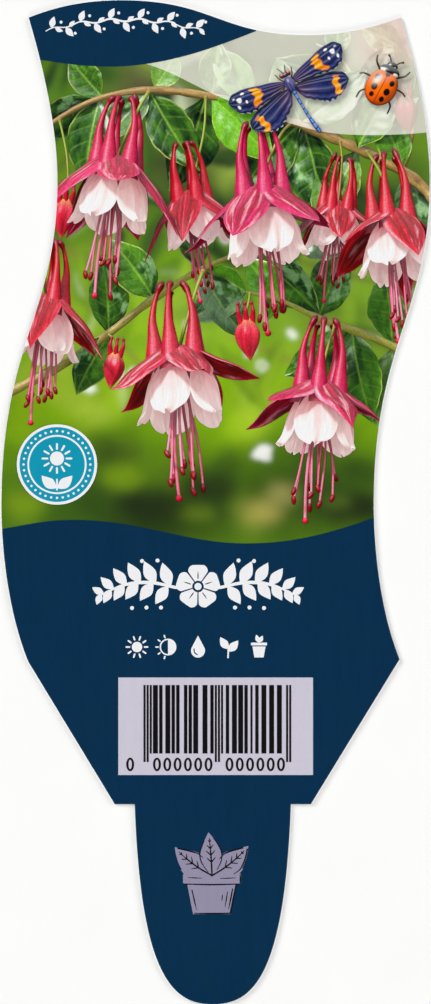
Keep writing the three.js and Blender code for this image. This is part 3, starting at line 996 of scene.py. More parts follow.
def wing(name, root, sweep, side, length, width, z, seed, hind=False):
    """side is 1 for the right wing and -1 for the left; sweep is its angle off the heading."""
    nu, nv = int(length * 1.9), int(width * 2.3) | 1
    s, v = np.linspace(0, 1, nu), np.linspace(-1, 1, nv)
    a = np.radians(FLY[2] - side * (sweep + 9 * s * s))
    t = np.stack([np.cos(a), np.sin(a), 0.10 + 0 * a], 1)
    c = np.array(root) + np.vstack([[0, 0, 0], np.cumsum(t[:-1] * (length / (nu - 1)), 0)])
    ahead = np.stack([-np.sin(a), np.cos(a), 0 * a], 1) * side
    lead = width * along(s, (0, 0.05), (0.12, 0.16), (0.45, 0.25), (0.8, 0.30), (0.94, 0.20), (1, 0.0))
    trail = width * (along(s, (0, 0.06), (0.1, 0.34), (0.35, 0.62), (0.65, 0.74), (0.88, 0.46), (0.96, 0.22), (1, 0.0)) if hind else
                     along(s, (0, 0.05), (0.1, 0.18), (0.4, 0.46), (0.75, 0.66), (0.92, 0.42), (0.98, 0.16), (1, 0.0)))
    across = np.where(v[None] > 0, v[None] * lead[:, None], v[None] * trail[:, None])
    across = across * (1 + 0.03 * np.sin(s * 46)[:, None] * (v[None] < -0.6))
    ss, vv = s[:, None] * np.ones(nv), v[None] * np.ones((nu, 1))
    fold = 0.5 * np.cos(vv * 4.5 * np.pi) * smooth(0.02, 0.2, ss) + 2.2 * (1 - vv ** 2) * np.sin(np.pi * ss)
    P = c[:, None] + ahead[:, None] * across[..., None] + TOWARDS * fold[..., None]
    n1 = fbm(ss * 5 + seed, vv * 3 + seed, 3)
    col = blend(lin(16, 24, 62), lin(52, 56, 112), np.clip(0.15 + 0.9 * (n1 - 0.35) + 0.25 * (1 - ss), 0, 1))
    col = blend(col, lin(78, 52, 74), 0.55 * (1 - smooth(0.05, 0.5, ss)))
    spread_ = 0.5 + 0.5 * np.cos(vv * 7.0 * np.pi + 0.6 * ss)
    col = blend(col, lin(8, 10, 30), 0.75 * spread_ ** 10 * smooth(0.05, 0.2, ss))
    cross = np.abs(((ss * 13 + 0.35 * np.sin(vv * 9 + seed)) % 1) - 0.5)
    col = blend(col, lin(10, 12, 34), 0.35 * (1 - smooth(0.02, 0.09, cross)) * smooth(0.2, 0.4, ss))
    mid = (0.50 if not hind else 0.76) + 0.09 * vv ** 2 + 0.02 * np.sin(vv * 11 + seed)
    wide = 0.070 if not hind else 0.055
    orange = blend(lin(232, 104, 26), lin(246, 150, 50), n1)
    if hind:
        col = blend(col, orange, (1 - smooth(wide * 0.7, wide * 1.2, np.abs(ss - mid))) * smooth(-0.98, -0.80, vv) * (1 - smooth(0.2, 0.7, vv)))
    else:
        col = blend(col, orange, (1 - smooth(wide * 0.7, wide * 1.25, np.abs(ss - mid))) * (1 - smooth(0.62, 0.9, np.abs(vv))))
        for ps, pv, pr in ((0.74, 0.50, 0.030), (0.82, -0.05, 0.040), (0.90, 0.30, 0.022), (0.86, -0.55, 0.024), (0.71, -0.30, 0.018)):
            gone = np.hypot((ss - ps), (vv - pv) * 0.5 * width / length)
            col = blend(col, lin(240, 240, 246), 0.95 * (1 - smooth(pr * 0.7, pr * 1.25, gone)))
    edge = smooth(0.93, 1.0, -vv) * smooth(0.3, 0.5, ss)
    col = blend(col, lin(226, 228, 240), 0.85 * edge * (np.sin(ss * 60 + seed) > -0.1))
    part(name, "plain", P, col, (ss * length, vv * width), 0.05, 0.16, 0.35, z=z)


def dome(name, x, y, rx, ry, height, angle, colour, z, gloss=0.6, nr=16, nt=52):
    r, th = np.linspace(0.02, 1, nr)[:, None] * np.ones(nt), np.linspace(0, 2 * np.pi, nt)[None] * np.ones((nr, 1))
    ca, sa = math.cos(math.radians(angle)), math.sin(math.radians(angle))
    u, w = r * rx * np.cos(th), r * ry * np.sin(th)
    P = np.stack([x + u * ca - w * sa, y + u * sa + w * ca, height * np.sqrt(1 - 0.998 * r * r)], -1)
    part(name, "plain", P, colour(u / rx, w / ry), (u, w), 0.0, gloss, z=z)


FZ = 236.0
for side in (1, -1):
    wing("fly_wings", from_fly(1.5, side * 2.5), 78, side, 62, 25, FZ + 4, 2.0 + side)
    wing("fly_wings", from_fly(-5.0, side * 2.5), 106, side, 55, 27, FZ, 5.0 + side, hind=True)
    for f1, r1, f2, r2 in ((9, 7, 15, 9), (4, 9, 8, 15), (-2, 8, -9, 12)):
        stem("fly_legs", [from_fly(2, side * 2, 0), from_fly(f1, side * r1, 1), from_fly(f2, side * r2, 0)], lambda s: 0.75 * (1 - 0.45 * s),
             lambda ss, th: blend(lin(20, 18, 26), lin(86, 70, 66), 0.6 * np.cos(th) ** 4), "plain", 0.3, 5, 0.8, z=FZ - 5)
segments = 9


def tail_width(s):
    x = s * segments
    return along(s, (0, 2.7), (0.12, 2.0), (0.7, 1.9), (0.88, 2.5), (1, 1.4)) * (1 - 0.16 * np.exp(-(((x + 0.5) % 1 - 0.5) / 0.10) ** 2))


def tail_colour(ss, th):
    x = ss * segments
    ring = np.exp(-(((x + 0.5) % 1 - 0.5) / 0.13) ** 2)
    c = blend(lin(34, 62, 150), lin(96, 150, 214), 0.6 * np.cos(th) ** 8)
    c = blend(c, lin(230, 120, 40), 0.7 * smooth(0.35, 0.9, np.abs(th) / (np.pi / 2)) * (np.floor(x) % 2 == 1))
    return blend(c, lin(10, 12, 28), 0.9 * ring)


stem("fly_body", [from_fly(-6, 0, 1), from_fly(-22, 0.5, 2), from_fly(-40, 1.8, 2), from_fly(-57, 4.4, 1)], tail_width, tail_colour, "plain", 0.7, 13, 0.6, z=FZ + 8)
fx, fy, _ = from_fly(-1.0, 0)
dome("fly_body", fx, fy, 9.0, 5.2, 6.0, FLY[2],
     lambda u, w: blend(blend(lin(30, 40, 96), lin(88, 78, 128), fbm(u * 3 + 4, w * 3 + 4, 3)), lin(14, 14, 30), 0.8 * np.exp(-(w / 0.10) ** 2) + 0.6 * np.exp(-((np.abs(w) - 0.62) / 0.12) ** 2)), FZ + 8, 0.5)
fx, fy, _ = from_fly(10.5, 0)
dome("fly_body", fx, fy, 2.6, 4.4, 3.6, FLY[2], lambda u, w: blend(lin(20, 22, 44), lin(96, 92, 120), 0.5 * np.exp(-(w / 0.3) ** 2)), FZ + 8, 0.5)
for side in (1, -1):
    fx, fy, _ = from_fly(10.8, side * 3.6)
    dome("fly_body", fx, fy, 2.8, 2.4, 3.2, FLY[2], lambda u, w: blend(lin(52, 16, 20), lin(150, 60, 50), 0.5 + 0.5 * u), FZ + 9, 1.0, 10, 30)
    stem("fly_legs", [from_fly(12.5, side * 1.2, 0), from_fly(16, side * 2.6, 1), from_fly(19.5, side * 4.4, 0)], lambda s: 0.5 * (1 - 0.4 * s),
         lambda ss, th: blend(lin(16, 14, 20), lin(90, 80, 80), 0.5 * np.cos(th) ** 4), "plain", 0.3, 5, 0.8, z=FZ - 2)

BX, BY, BA, BS = 383.0, -84.0, 62.0, 1.22  # the spotted beetle and its size


def from_beetle(forward, right, height=0.0):
    h = math.radians(BA)
    forward, right = BS * forward, BS * right
    return np.array([BX + forward * math.cos(h) + right * math.sin(h), BY + forward * math.sin(h) - right * math.cos(h), height])


def shell(u, w):
    c = blend(lin(206, 62, 14), lin(236, 104, 28), fbm(u * 2 + 7, w * 2 + 3, 3))
    for pu, pw, pr in ((0.40, 0.52, 0.17), (0.42, -0.50, 0.165), (-0.12, 0.42, 0.20), (-0.10, -0.44, 0.20), (-0.55, 0.36, 0.15), (-0.56, -0.36, 0.155), (0.80, 0.0, 0.17)):
        c = blend(c, lin(16, 12, 14), 1 - smooth(pr * 0.85, pr * 1.12, np.hypot(u - pu, w - pw)))
    c = blend(c, lin(40, 14, 10), 0.9 * np.exp(-(w / 0.028) ** 2) * smooth(-1.0, -0.9, -u))
    return blend(c, lin(90, 26, 10), 0.6 * smooth(0.86, 1.0, np.hypot(u, w)))


dome("beetle", *from_beetle(-3, 0)[:2], 15.5 * BS, 13.0 * BS, 10.0 * BS, BA, shell, FZ, 0.9, 30, 96)
dome("beetle", *from_beetle(11.2, 0)[:2], 5.4 * BS, 8.8 * BS, 6.0 * BS, BA,
     lambda u, w: blend(lin(18, 16, 20), lin(236, 230, 214), (1 - smooth(0.20, 0.30, np.hypot(u + 0.05, np.abs(w) - 0.66)))), FZ - 1, 0.8)
dome("beetle", *from_beetle(16.4, 0)[:2], 3.4 * BS, 4.6 * BS, 3.4 * BS, BA,
     lambda u, w: blend(lin(16, 14, 18), lin(214, 206, 190), (1 - smooth(0.14, 0.24, np.hypot(u + 0.1, np.abs(w) - 0.55)))), FZ - 2, 0.8, 10, 32)
for side in (1, -1):
    for f0, f1, r1, f2, r2 in ((9, 14, 13, 19, 15), (1, 1, 17, -1, 21), (-8, -13, 13.5, -20, 14.5)):
        stem("beetle_legs", [from_beetle(f0, side * 7, 0), from_beetle(f1, side * r1, 1), from_beetle(f2, side * r2, 0)], lambda s: 1.15 * (1 - 0.5 * s),
             lambda ss, th: blend(lin(16, 12, 14), lin(96, 66, 50), 0.6 * np.cos(th) ** 4), "plain", 0.3, 7, 0.8, z=FZ - 6)
    stem("beetle_legs", [from_beetle(18, side * 2.0, 0), from_beetle(21.5, side * 4.2, 1), from_beetle(23.5, side * 7.0, 0)], lambda s: 0.55 + 0.5 * smooth(0.7, 0.9, s),
         lambda ss, th: blend(lin(20, 14, 14), lin(110, 80, 60), 0.5 * np.cos(th) ** 4), "plain", 0.3, 5, 0.8, z=FZ - 4)
crew = parts[leafage:]
del parts[leafage:]

# ------------------------------------------------------------------ light on the picture
SUN = unit([-0.42, 0.66, 0.62])
rays = []
for dx, dy in ((0.0, 0.0), (0.06, 0.03), (-0.04, 0.06)):
    rays.append((unit(SUN + [dx, dy, 0]), np.array([1.0, 0.965, 0.90]) * 0.62))
for k in range(13):
    h = (k + 0.5) / 13
    f = 2.399963 * k
    d = np.array([math.sqrt(1 - (1 - 0.92 * h) ** 2) * math.cos(f), math.sqrt(1 - (1 - 0.92 * h) ** 2) * math.sin(f), 1 - 0.92 * h])
    up = 0.5 + 0.5 * d[1]
    rays.append((unit(d), (np.array([0.46, 0.60, 0.30]) * (1 - up) + np.array([0.93, 1.0, 1.06]) * up) * (1.9 / 13)))



def grow(members):
    tri, at = [], 0
    for p in members:
        tri.append(p["tri"] + at)
        at += len(p["co"])
    return BVHTree.FromPolygons(np.vstack([p["co"] for p in members]).tolist(), np.vstack(tri).tolist(), all_triangles=True)


low = min(p["co"][:, 2].min() for p in parts)
high = max(p["co"][:, 2].max() for p in parts + crew)


def soften(a, w, shape, passes=2):
    """Values known where w is 1, spread over a part's grid: edges of shadows run smooth, and hidden corners take what
    their neighbours have."""
    a, w = (a * w).reshape(*shape, -1), (w * 1.0).reshape(*shape, -1)
    for _ in range(passes):
        for axis in (0, 1):
            k = np.arange(shape[axis])
            before, after = np.clip(k - 1, 0, None), np.clip(k + 1, None, shape[axis] - 1)
            a, w = (0.5 * q + 0.25 * (q.take(before, axis) + q.take(after, axis)) for q in (a, w))
    return (a / np.maximum(w, 1e-6)).reshape(shape[0] * shape[1], -1)


def lit(p, tree):
    """Adds to a part how much of it shows from straight above, and its colours under the light."""
    co, n = p["co"], p["n"]
    cast = tree.ray_cast
    m = len(co)
    seen = np.ones(m, bool)
    up = Vector((0, 0, 1))
    steep = 1 - n[:, 2:3]
    start = co + n * 0.25 * steep + TOWARDS * (0.03 + 0.32 * steep)
    for i, c in enumerate(start.tolist()):
        if cast(Vector(c), up, 400.0)[0] is not None:
            seen[i] = False
    p["seen"] = seen
    dots = n @ np.array([d for d, _ in rays]).T
    tints = np.array([c for _, c in rays])
    known = [seen[:, None] & (dots > 0.02), seen[:, None] & (dots < -0.02) & (p["through"] > 0.02)[:, None]]
    free = np.zeros((m, len(rays)))
    for k, (d, c) in enumerate(rays):
        reach = 300.0 if k < 3 else 60.0
        dv = Vector(d.tolist())
        for side, mask in ((0.7, known[0][:, k]), (-0.7, known[1][:, k])):
            ids = np.nonzero(mask)[0]
            for i, start in zip(ids.tolist(), (co[ids] + n[ids] * side + d * 0.4).tolist()):
                if cast(Vector(start), dv, reach)[0] is None:
                    free[i, k] = 1
    light = (soften(free, known[0], p["shape"]) * np.clip(dots, 0, None)) @ tints
    through = (soften(free, known[1], p["shape"]) * np.clip(-dots, 0, None)) @ tints
    r = 2 * n[:, 2:3] * n - TOWARDS
    fres = 0.05 + 0.5 * (1 - n[:, 2]) ** 4
    sun_seen = np.zeros(m)
    dv = Vector(SUN.tolist())
    glossy = seen & (p["gloss"] > 0.01)
    for i in np.nonzero(glossy)[0].tolist():
        if cast(Vector((co[i] + n[i] * 0.7 + SUN * 0.4).tolist()), dv, 200.0)[0] is None:
            sun_seen[i] = 1
    sun_seen = soften(sun_seen[:, None], glossy[:, None], p["shape"])[:, 0]
    sky = smooth(0.0, 0.95, r[:, 1]) * 1.5
    spec = p["gloss"] * (fres * sky * 2.2 + 1.1 * sun_seen * np.clip(r @ SUN, 0, 1) ** 14)
    shine = np.array([1.0, 0.60, 0.67]) if p["kind"] == "petal" else np.array([0.92, 1.0, 1.0])
    alb = p["albedo"]
    amb = 0.10
    if p["kind"] == "pale_petal":
        dim = 1 - smooth(0.25, 1.25, light.mean(1))
        alb = alb * (1 - dim[:, None] * np.array([0.0, 0.175, 0.155]))
    if p["kind"] == "pale_petal":
        light = light * 0.48 + np.array([0.755, 0.665, 0.64]) * (0.62 + 0.38 * smooth(0.0, 0.8, light.mean(1)))[:, None]
    c = alb * (light + amb) + alb * through * p["through"][:, None] * np.array([1.05, 1.0, 0.9])
    c = c + spec[:, None] * shine + (p["sheen"] * (1 - n[:, 2]) ** 2)[:, None] * 0.25 * (light.mean(1)[:, None]) * (0.4 + 0.6 * alb)
    p["lit"] = c


tree = grow(parts)
for p in parts:
    lit(p, tree)
tree = grow(crew)
for p in crew:
    lit(p, tree)

# the insects' soft shadow on what lies below them, by place on a fine grid
SW, SH = 240, 170
cast_on = np.zeros((SH, SW))
for p in crew:
    j = np.clip((-p["co"][:, 1] + 4).astype(int), 0, SH - 1)
    i = np.clip((p["co"][:, 0] - 205 + 3).astype(int), 0, SW - 1)
    cast_on[j, i] = 1.0
fy_, fx_ = np.fft.fftfreq(SH)[:, None], np.fft.rfftfreq(SW)[None]
near_, far_ = (np.fft.irfft2(np.fft.rfft2(cast_on) * np.exp(-2 * (np.pi * sg) ** 2 * (fx_ ** 2 + fy_ ** 2)), s=(SH, SW)) for sg in (1.3, 3.6))
cast_on = np.clip(0.30 * near_ + 0.30 * far_, 0, 0.6)


def shadow_at(co):
    j = np.clip((-co[:, 1]).astype(int), 0, SH - 1)
    i = np.clip((co[:, 0] - 205).astype(int), 0, SW - 1)
    hit = (co[:, 0] > 206) & (-co[:, 1] < SH - 2)
    return 1 - np.where(hit, cast_on[j, i], 0.0)[:, None]


def tone_map(c):
    c = np.clip(c, 0, None)
    c = 0.97 * c / (1 + 0.22 * c ** 1.5)
    grey = c @ np.array([0.2126, 0.7152, 0.0722])
    c = grey[:, None] + (c - grey[:, None]) * 1.06
    return np.clip(c, 0.002, 0.93)


def deepen(c):
    """Greens with more depth in their shadows than the light alone gives them."""
    k = np.maximum(c @ np.array([0.2126, 0.7152, 0.0722]), 1e-4) / 0.13
    return c * (1.05 * np.where(k < 1, k ** 0.30, k ** 0.08))[:, None] + np.array([0.001, 0.0, 0.006])


# ------------------------------------------------------------------ the soft ground behind
GD = 2.0
GW, GH = 240, 300
gx, gy = np.meshgrid(-22 + GD * np.arange(GW), -8 + GD * np.arange(GH))  # y is down here


def blur(a, sigma):
    sigma = sigma / GD
    pad = 40
    a = np.pad(a, ((pad, pad), (pad, pad), (0, 0)), mode="edge")
    fy, fx = np.fft.fftfreq(a.shape[0])[:, None], np.fft.rfftfreq(a.shape[1])[None]
    g = np.exp(-2 * (np.pi * sigma) ** 2 * (fx ** 2 + fy ** 2))
    out = np.fft.irfft2(np.fft.rfft2(a, axes=(0, 1)) * g[..., None], s=a.shape[:2], axes=(0, 1))
    return out[pad:-pad, pad:-pad]


def lay(ground, shapes, sigma):
    """Shapes are (mask function of x and y, linear colour, strength); the layer is blurred and laid over ground."""
    for mask, colour, strength in shapes:
        m = np.clip(mask(gx, gy), 0, 1)[..., None] * strength
        m = np.clip(blur(m, sigma), 0, 1)
        ground = ground * (1 - m) + np.asarray(colour) * m
    return ground


def oval(cx, cy, rx, ry, turn=0.0, point=1.0):
    c, s = math.cos(math.radians(turn)), math.sin(math.radians(turn))

    def f(x, y):
        u, v = ((x - cx) * c + (y - cy) * s) / rx, (-(x - cx) * s + (y - cy) * c) / ry
        if point > 1:
            return (np.abs(v) < np.clip(1 - np.abs(u) ** 1.6, 0, 1) ** 0.9) * (np.abs(u) < 1) * 1.0
        return (u * u + v * v < 1) * 1.0
    return f


g0 = np.random.default_rng(5)
ground = np.zeros((GH, GW, 3)) + lin(94, 134, 36)
ground = lay(ground, [
    (oval(70, 96, 90, 60), lin(84, 122, 40), 0.8), (oval(160, 108, 50, 74), lin(88, 76, 54), 0.95), (oval(300, 60, 160, 60), lin(112, 122, 78), 0.9),
    (oval(226, 176, 90, 50), lin(66, 82, 38), 0.8), (oval(26, 214, 50, 50), lin(132, 160, 42), 0.9), (oval(80, 230, 60, 40), lin(70, 96, 36), 0.7),
    (oval(395, 180, 60, 60), lin(104, 136, 44), 0.8), (oval(330, 280, 90, 60), lin(116, 146, 52), 0.8), (oval(388, 310, 60, 60), lin(128, 158, 56), 0.85),
    (oval(90, 306, 70, 50), lin(158, 184, 66), 0.8), (oval(110, 300, 110, 60), lin(138, 184, 50), 0.55), (oval(150, 350, 110, 46), lin(152, 196, 52), 0.85), (oval(60, 392, 70, 40), lin(116, 156, 22), 0.9), (oval(232, 392, 76, 56), lin(132, 176, 46), 0.9),
    (oval(376, 424, 50, 46), lin(120, 162, 40), 0.9), (oval(316, 474, 80, 36), lin(62, 94, 32), 0.8), (oval(60, 512, 110, 40), lin(64, 98, 34), 0.95), (oval(170, 508, 80, 40), lin(40, 54, 24), 0.9),
    (oval(300, 508, 70, 30), lin(52, 74, 28), 0.9), (oval(386, 516, 60, 30), lin(70, 102, 32), 0.9), (oval(150, 462, 60, 30), lin(96, 130, 38), 0.7),
], 20)
shapes = []
greens = [lin(116, 164, 40), lin(48, 76, 32), lin(146, 184, 60), lin(62, 96, 38), lin(30, 50, 28), lin(164, 190, 84), lin(38, 62, 32)]
for k in range(64):
    cx, cy = g0.uniform(-10, 430), g0.uniform(20, 545)
    pick = int(g0.integers(0, 7))
    if 255 < cy < 440 and pick in (1, 3, 4, 6):
        pick = (2, 5, 0, 2)[(1, 3, 4, 6).index(pick)] if cx < 300 or k % 2 else pick
    shapes.append((oval(cx, cy, g0.uniform(26, 58), g0.uniform(10, 22), g0.uniform(0, 180), 2.0), greens[pick], g0.uniform(0.35, 0.8) * (1.0 if cy < 420 else 0.5)))
ground = lay(ground, shapes, 8.5)
ground = lay(ground, [(oval(205, 140, 30, 22), lin(70, 62, 40), 0.7), (oval(352, 506, 34, 16), lin(34, 38, 22), 0.8), (oval(208, 486, 26, 14), lin(36, 44, 22), 0.6),
                      (oval(118, 452, 26, 14), lin(60, 66, 34), 0.5), (oval(262, 512, 20, 11), lin(190, 178, 112), 0.7), (oval(282, 494, 15, 10), lin(206, 190, 140), 0.5)], 7)


def half_oval(cx, cy, rx, ry, turn, side):
    whole = oval(cx, cy, rx, ry, turn, 2.0)
    c, q = math.cos(math.radians(turn)), math.sin(math.radians(turn))
    return lambda x, y: whole(x, y) * ((-(x - cx) * q + (y - cy) * c) * side > 0)


for k in range(12):  # twigs out of focus
    cx, cy = g0.uniform(60, 420), g0.uniform(110, 380)
    ground = lay(ground, [(oval(cx, cy, g0.uniform(40, 80), g0.uniform(1.6, 3.0), g0.uniform(10, 60) * g0.choice([-1, 1])), lin(150, 122, 74) if k % 2 else lin(96, 104, 48), 0.8)], 2.6)
for k in range(58):  # leaves out of focus, the farther first
    far = 1 - k / 58
    cx, cy = g0.uniform(40, 425), g0.uniform(60, 395)
    rx, ry, turn = g0.uniform(24, 44), g0.uniform(9, 16), g0.uniform(0, 180)
    dull, bright = greens[int(g0.choice([1, 3, 4, 6, 6]))], greens[int(g0.choice([0, 0, 2, 3]))] * g0.uniform(0.7, 1.0)
    sg = 2.2 + 3.4 * far
    open_air = smooth(235, 300, cy) * (1 - 0.6 * smooth(200, 330, cx))  # more light comes through low on the left
    dull, bright = blend(dull, lin(104, 150, 40), 0.75 * open_air), blend(bright, lin(168, 206, 66), 0.6 * open_air)
    ground = lay(ground, [(oval(cx, cy, rx, ry, turn, 2.0), dull, 0.9 - 0.4 * open_air)], sg)
    ground = lay(ground, [(half_oval(cx, cy, rx, ry, turn, g0.choice([-1, 1])), bright, g0.uniform(0.45, 0.95))], sg)
    if k % 3 == 0:
        ground = lay(ground, [(oval(cx, cy, rx * 0.6, ry * 0.22, turn + g0.uniform(-8, 8)), lin(196, 214, 160), g0.uniform(0.3, 0.7))], sg * 0.7)
for k in range(22):  # and those behind the pale band
    cx, cy = g0.uniform(170, 430), g0.uniform(10, 130)
    rx, ry, turn = g0.uniform(18, 40), g0.uniform(7, 13), g0.uniform(0, 180)
    ground = lay(ground, [(oval(cx, cy, rx, ry, turn, 2.0) if k % 3 else oval(cx, cy, rx * 1.4, 2.0, turn), lin(222, 236, 190) if k % 2 else lin(52, 66, 44), g0.uniform(0.5, 0.95) * (1 - smooth(118, 150, cy)))], g0.uniform(1.6, 3.6))
ground[..., 2] *= 1 - 0.28 * smooth(330, 400, gy)
ground = lay(ground, [  # light and dark patches low down, where no leaves hang
    (oval(98, 448, 20, 17, 20), lin(42, 62, 22), 0.42), (oval(150, 502, 34, 13), lin(32, 38, 20), 0.5), (oval(224, 474, 17, 27, 15), lin(44, 64, 24), 0.5), (oval(312, 446, 22, 18), lin(42, 64, 26), 0.42),
    (oval(362, 470, 20, 14), lin(40, 60, 24), 0.5), (oval(20, 422, 18, 22), lin(138, 172, 28), 0.38), (oval(26, 504, 22, 11), lin(136, 164, 40), 0.42), (oval(122, 478, 20, 11), lin(146, 180, 46), 0.45),
    (oval(246, 424, 24, 15, -20), lin(166, 204, 56), 0.55), (oval(198, 514, 18, 8), lin(124, 154, 44), 0.4), (oval(336, 502, 16, 8), lin(114, 144, 50), 0.4),
], 6)
shapes = []
for k in range(18):
    shapes.append((oval(g0.uniform(40, 400), g0.uniform(110, 400), *(g0.uniform(3.0, 7.0),) * 2), lin(240, 244, 214), g0.uniform(0.25, 0.8)))
ground = lay(ground, shapes, 1.7)
ground = lay(ground, [(oval(88, 386, 10, 6, 30, 2.0), lin(250, 252, 236), 0.9), (oval(262, 452, 12, 6.5, -24, 2.0), lin(252, 254, 244), 1.0), (oval(266, 456, 6, 5, 50), lin(250, 252, 240), 0.8), (oval(250, 350, 5, 8, 20), lin(250, 252, 240), 0.9),
                      (oval(144, 262, 6, 4, 0), lin(250, 252, 240), 0.9), (oval(226, 236, 5, 7, 10), lin(250, 250, 240), 0.8), (oval(292, 334, 6, 4, 40), lin(250, 252, 240), 0.8)], 2.3)
soft = fbm(gx / 30.0, gy / 30.0, 3)
ground = ground * (0.84 + 0.30 * soft)[..., None]


def ground_at(x, y_down):
    u, v = (x - gx[0, 0]) / GD, (y_down - gy[0, 0]) / GD
    i, j = np.clip(u.astype(int), 0, GW - 2), np.clip(v.astype(int), 0, GH - 2)
    fu, fv = np.clip(u - i, 0, 1)[:, None], np.clip(v - j, 0, 1)[:, None]
    return (ground[j, i] * (1 - fu) + ground[j, i + 1] * fu) * (1 - fv) + (ground[j + 1, i] * (1 - fu) + ground[j + 1, i + 1] * fu) * fv


# ------------------------------------------------------------------ the back of the sheet
def through_sheet(x, y):
    """How the front's print tints the back: blue-grey under the dark fields, fainter and greener under the picture."""
    dark_ = np.maximum(smooth(-4, 4, wave_y(x) - y), smooth(-4, 4, y - lens_y(x)) * smooth(262, 248, x))
    panel = smooth(-3, 3, x - 118.3) * smooth(-3, 3, 313.0 - x) * smooth(-3, 3, -677.5 - y) * smooth(-3, 3, y + 775.0)
    dark_ = (dark_ * (1 - 0.85 * panel))[:, None]
    pict = ((y > wave_y(x)) * (0.55 + 1.1 * (fbm(x / 26.0 + 3, -y / 26.0, 3) - 0.5)) * (1 - 0.7 * (y > band_y(x)) * (x > 141)))[:, None]
    return 1 - dark_ * np.array([0.085, 0.062, 0.048]) - (1 - dark_) * np.clip(pict, 0, 1) * np.array([0.070, 0.045, 0.078])


shade_back = np.ones((len(sheet_v), 4), np.float32)
under_ = sheet_v[:, 2] < 0.000005
shade_back[under_, :3] = through_sheet(sheet_v[under_, 0] / K + X0, sheet_v[under_, 1] / K - Y0)
sheet.data.attributes.new("ink", "FLOAT_COLOR", "POINT").data.foreach_set("color", shade_back.ravel())

# ------------------------------------------------------------------ pressing the picture flat
REACH = 0.00007  # the picture's whole relief
DIP = 0.000009    # how far a surface's corners that lie out of sight sink, so that two that cross part at once
INSET = 0.018 / (K * 1000)


def level(z):
    return TOP + INK * 4 + (z - low) / (high - low) * REACH


def trim(co, tri, att):
    """Keeps what lies inside the picture's edges."""
    for f in (lambda c: c[:, 0] - left_x(c[:, 1]) - INSET, lambda c: right_x(c[:, 1]) - INSET - c[:, 0],
              lambda c: top_y(c[:, 0]) - INSET - c[:, 1], lambda c: np.where(c[:, 0] < 256, lens_y(c[:, 0]) + 0.4 - c[:, 1], 5.0),
              lambda c: c[:, 1] - wave_y(c[:, 0]) + 0.4):
        if len(tri):
            co, tri, att = clip(co, tri, f(co), att)
    return co, tri, att


PALE = np.array([0.745, 0.74, 0.625])


def washed(c, co, lift=1.0):
    grey = c @ np.array([0.2126, 0.7152, 0.0722])
    soft_c = (grey[:, None] * 0.40 + c * 0.60) * lift
    under = 0.10 + 0.90 * np.clip(soft_c, 0, 1) ** 0.75
    rosy = (smooth(335, 385, co[:, 0]) * (0.08 + 0.92 * smooth(-84, -44, co[:, 1])))[:, None]
    return 1.045 * (PALE * (1 - rosy) + np.array([0.87, 0.61, 0.55]) * rosy) * 0.60 + 1.045 * under * 0.40


LIFT = {"leaf": 1.65, "bark": 2.3, "stem": 2.3}  # how much paler these show in the band than below it


def split(co, tri, att):
    """The mesh cut along the pale band's edge: below it, and in it."""
    f = co[:, 1] - band_y(co[:, 0])
    f = np.where(co[:, 0] < 141, -5.0, f)
    return clip(co, tri, -f, att), clip(co, tri, f, att)


MATS = {"leaf": m_leaf, "petal": m_petal, "pale_petal": m_pale_petal, "stem": m_stem, "bark": m_bark, "plain": m_picture, "ground": m_ground, "washed": m_washed}


def emit(name, pieces_):
    """One piece from (kind, co, tri, colour, grain, z above the sheet per vertex) lists."""
    vs, fs, cols, grains, index, mats, at = [], [], [], [], [], [], 0
    for kind, co, tri, colour, grain in pieces_:
        if not len(tri):
            continue
        if MATS[kind] not in mats:
            mats.append(MATS[kind])
        vs.append(to_m(co, co[:, 2]))
        fs.append(tri + at)
        at += len(co)
        cols.append(colour)
        grains.append(grain)
        index += [mats.index(MATS[kind])] * len(tri)
    if not vs:
        return None
    ob = add_piece(name, np.vstack(vs), np.vstack(fs), mats, index, np.clip((np.vstack(cols) - VEIL) / LIGHT, 0.0004, 0.95), np.vstack(grains))
    return ob


groups = {}
for p in parts + crew:
    groups.setdefault(p["group"], []).append(p)
over = {p["group"] for p in crew}
for name, members in groups.items():
    made = []
    for p in members:
        seen = p["seen"]
        # faces with no corner in sight, nor any neighbour's, are dropped
        tri = p["tri"]
        near = seen.copy()
        near[tri[seen[tri].any(1)].ravel()] = True
        tri = tri[near[tri].any(1) & seen[tri].any(1)]
        if not len(tri):
            continue
        a = tri
        q = p["co"][a][:, :, :2]
        area = (q[:, 1, 0] - q[:, 0, 0]) * (q[:, 2, 1] - q[:, 0, 1]) - (q[:, 1, 1] - q[:, 0, 1]) * (q[:, 2, 0] - q[:, 0, 0])
        tri = np.where(area[:, None] < 0, tri[:, ::-1], tri)[np.abs(area) > 1e-5]
        if not len(tri):
            continue
        co = p["co"].copy()
        co[:, 2] = level(co[:, 2]) - np.where(seen, 0.0, DIP)
        co, tri, att = compact(co, tri, np.hstack([p["lit"], p["grain"]]))
        co, tri, att = trim(co, tri, att)
        if not len(tri):
            continue
        if name in over:
            made.append((p["kind"], co, tri, tone_map(att[:, :3]), att[:, 3:5]))
            continue
        for k, (c, t, a) in enumerate(split(co, tri, att)):
            if not len(t):
                continue
            colour = tone_map(a[:, :3])
            if k:
                colour = washed(colour, c, LIFT.get(p["kind"], 1.2))
            elif p["kind"] == "leaf":
                colour = deepen(colour)
            made.append(("washed" if k else p["kind"], c, t, colour * shadow_at(c), a[:, 3:5]))
    emit(name, made)

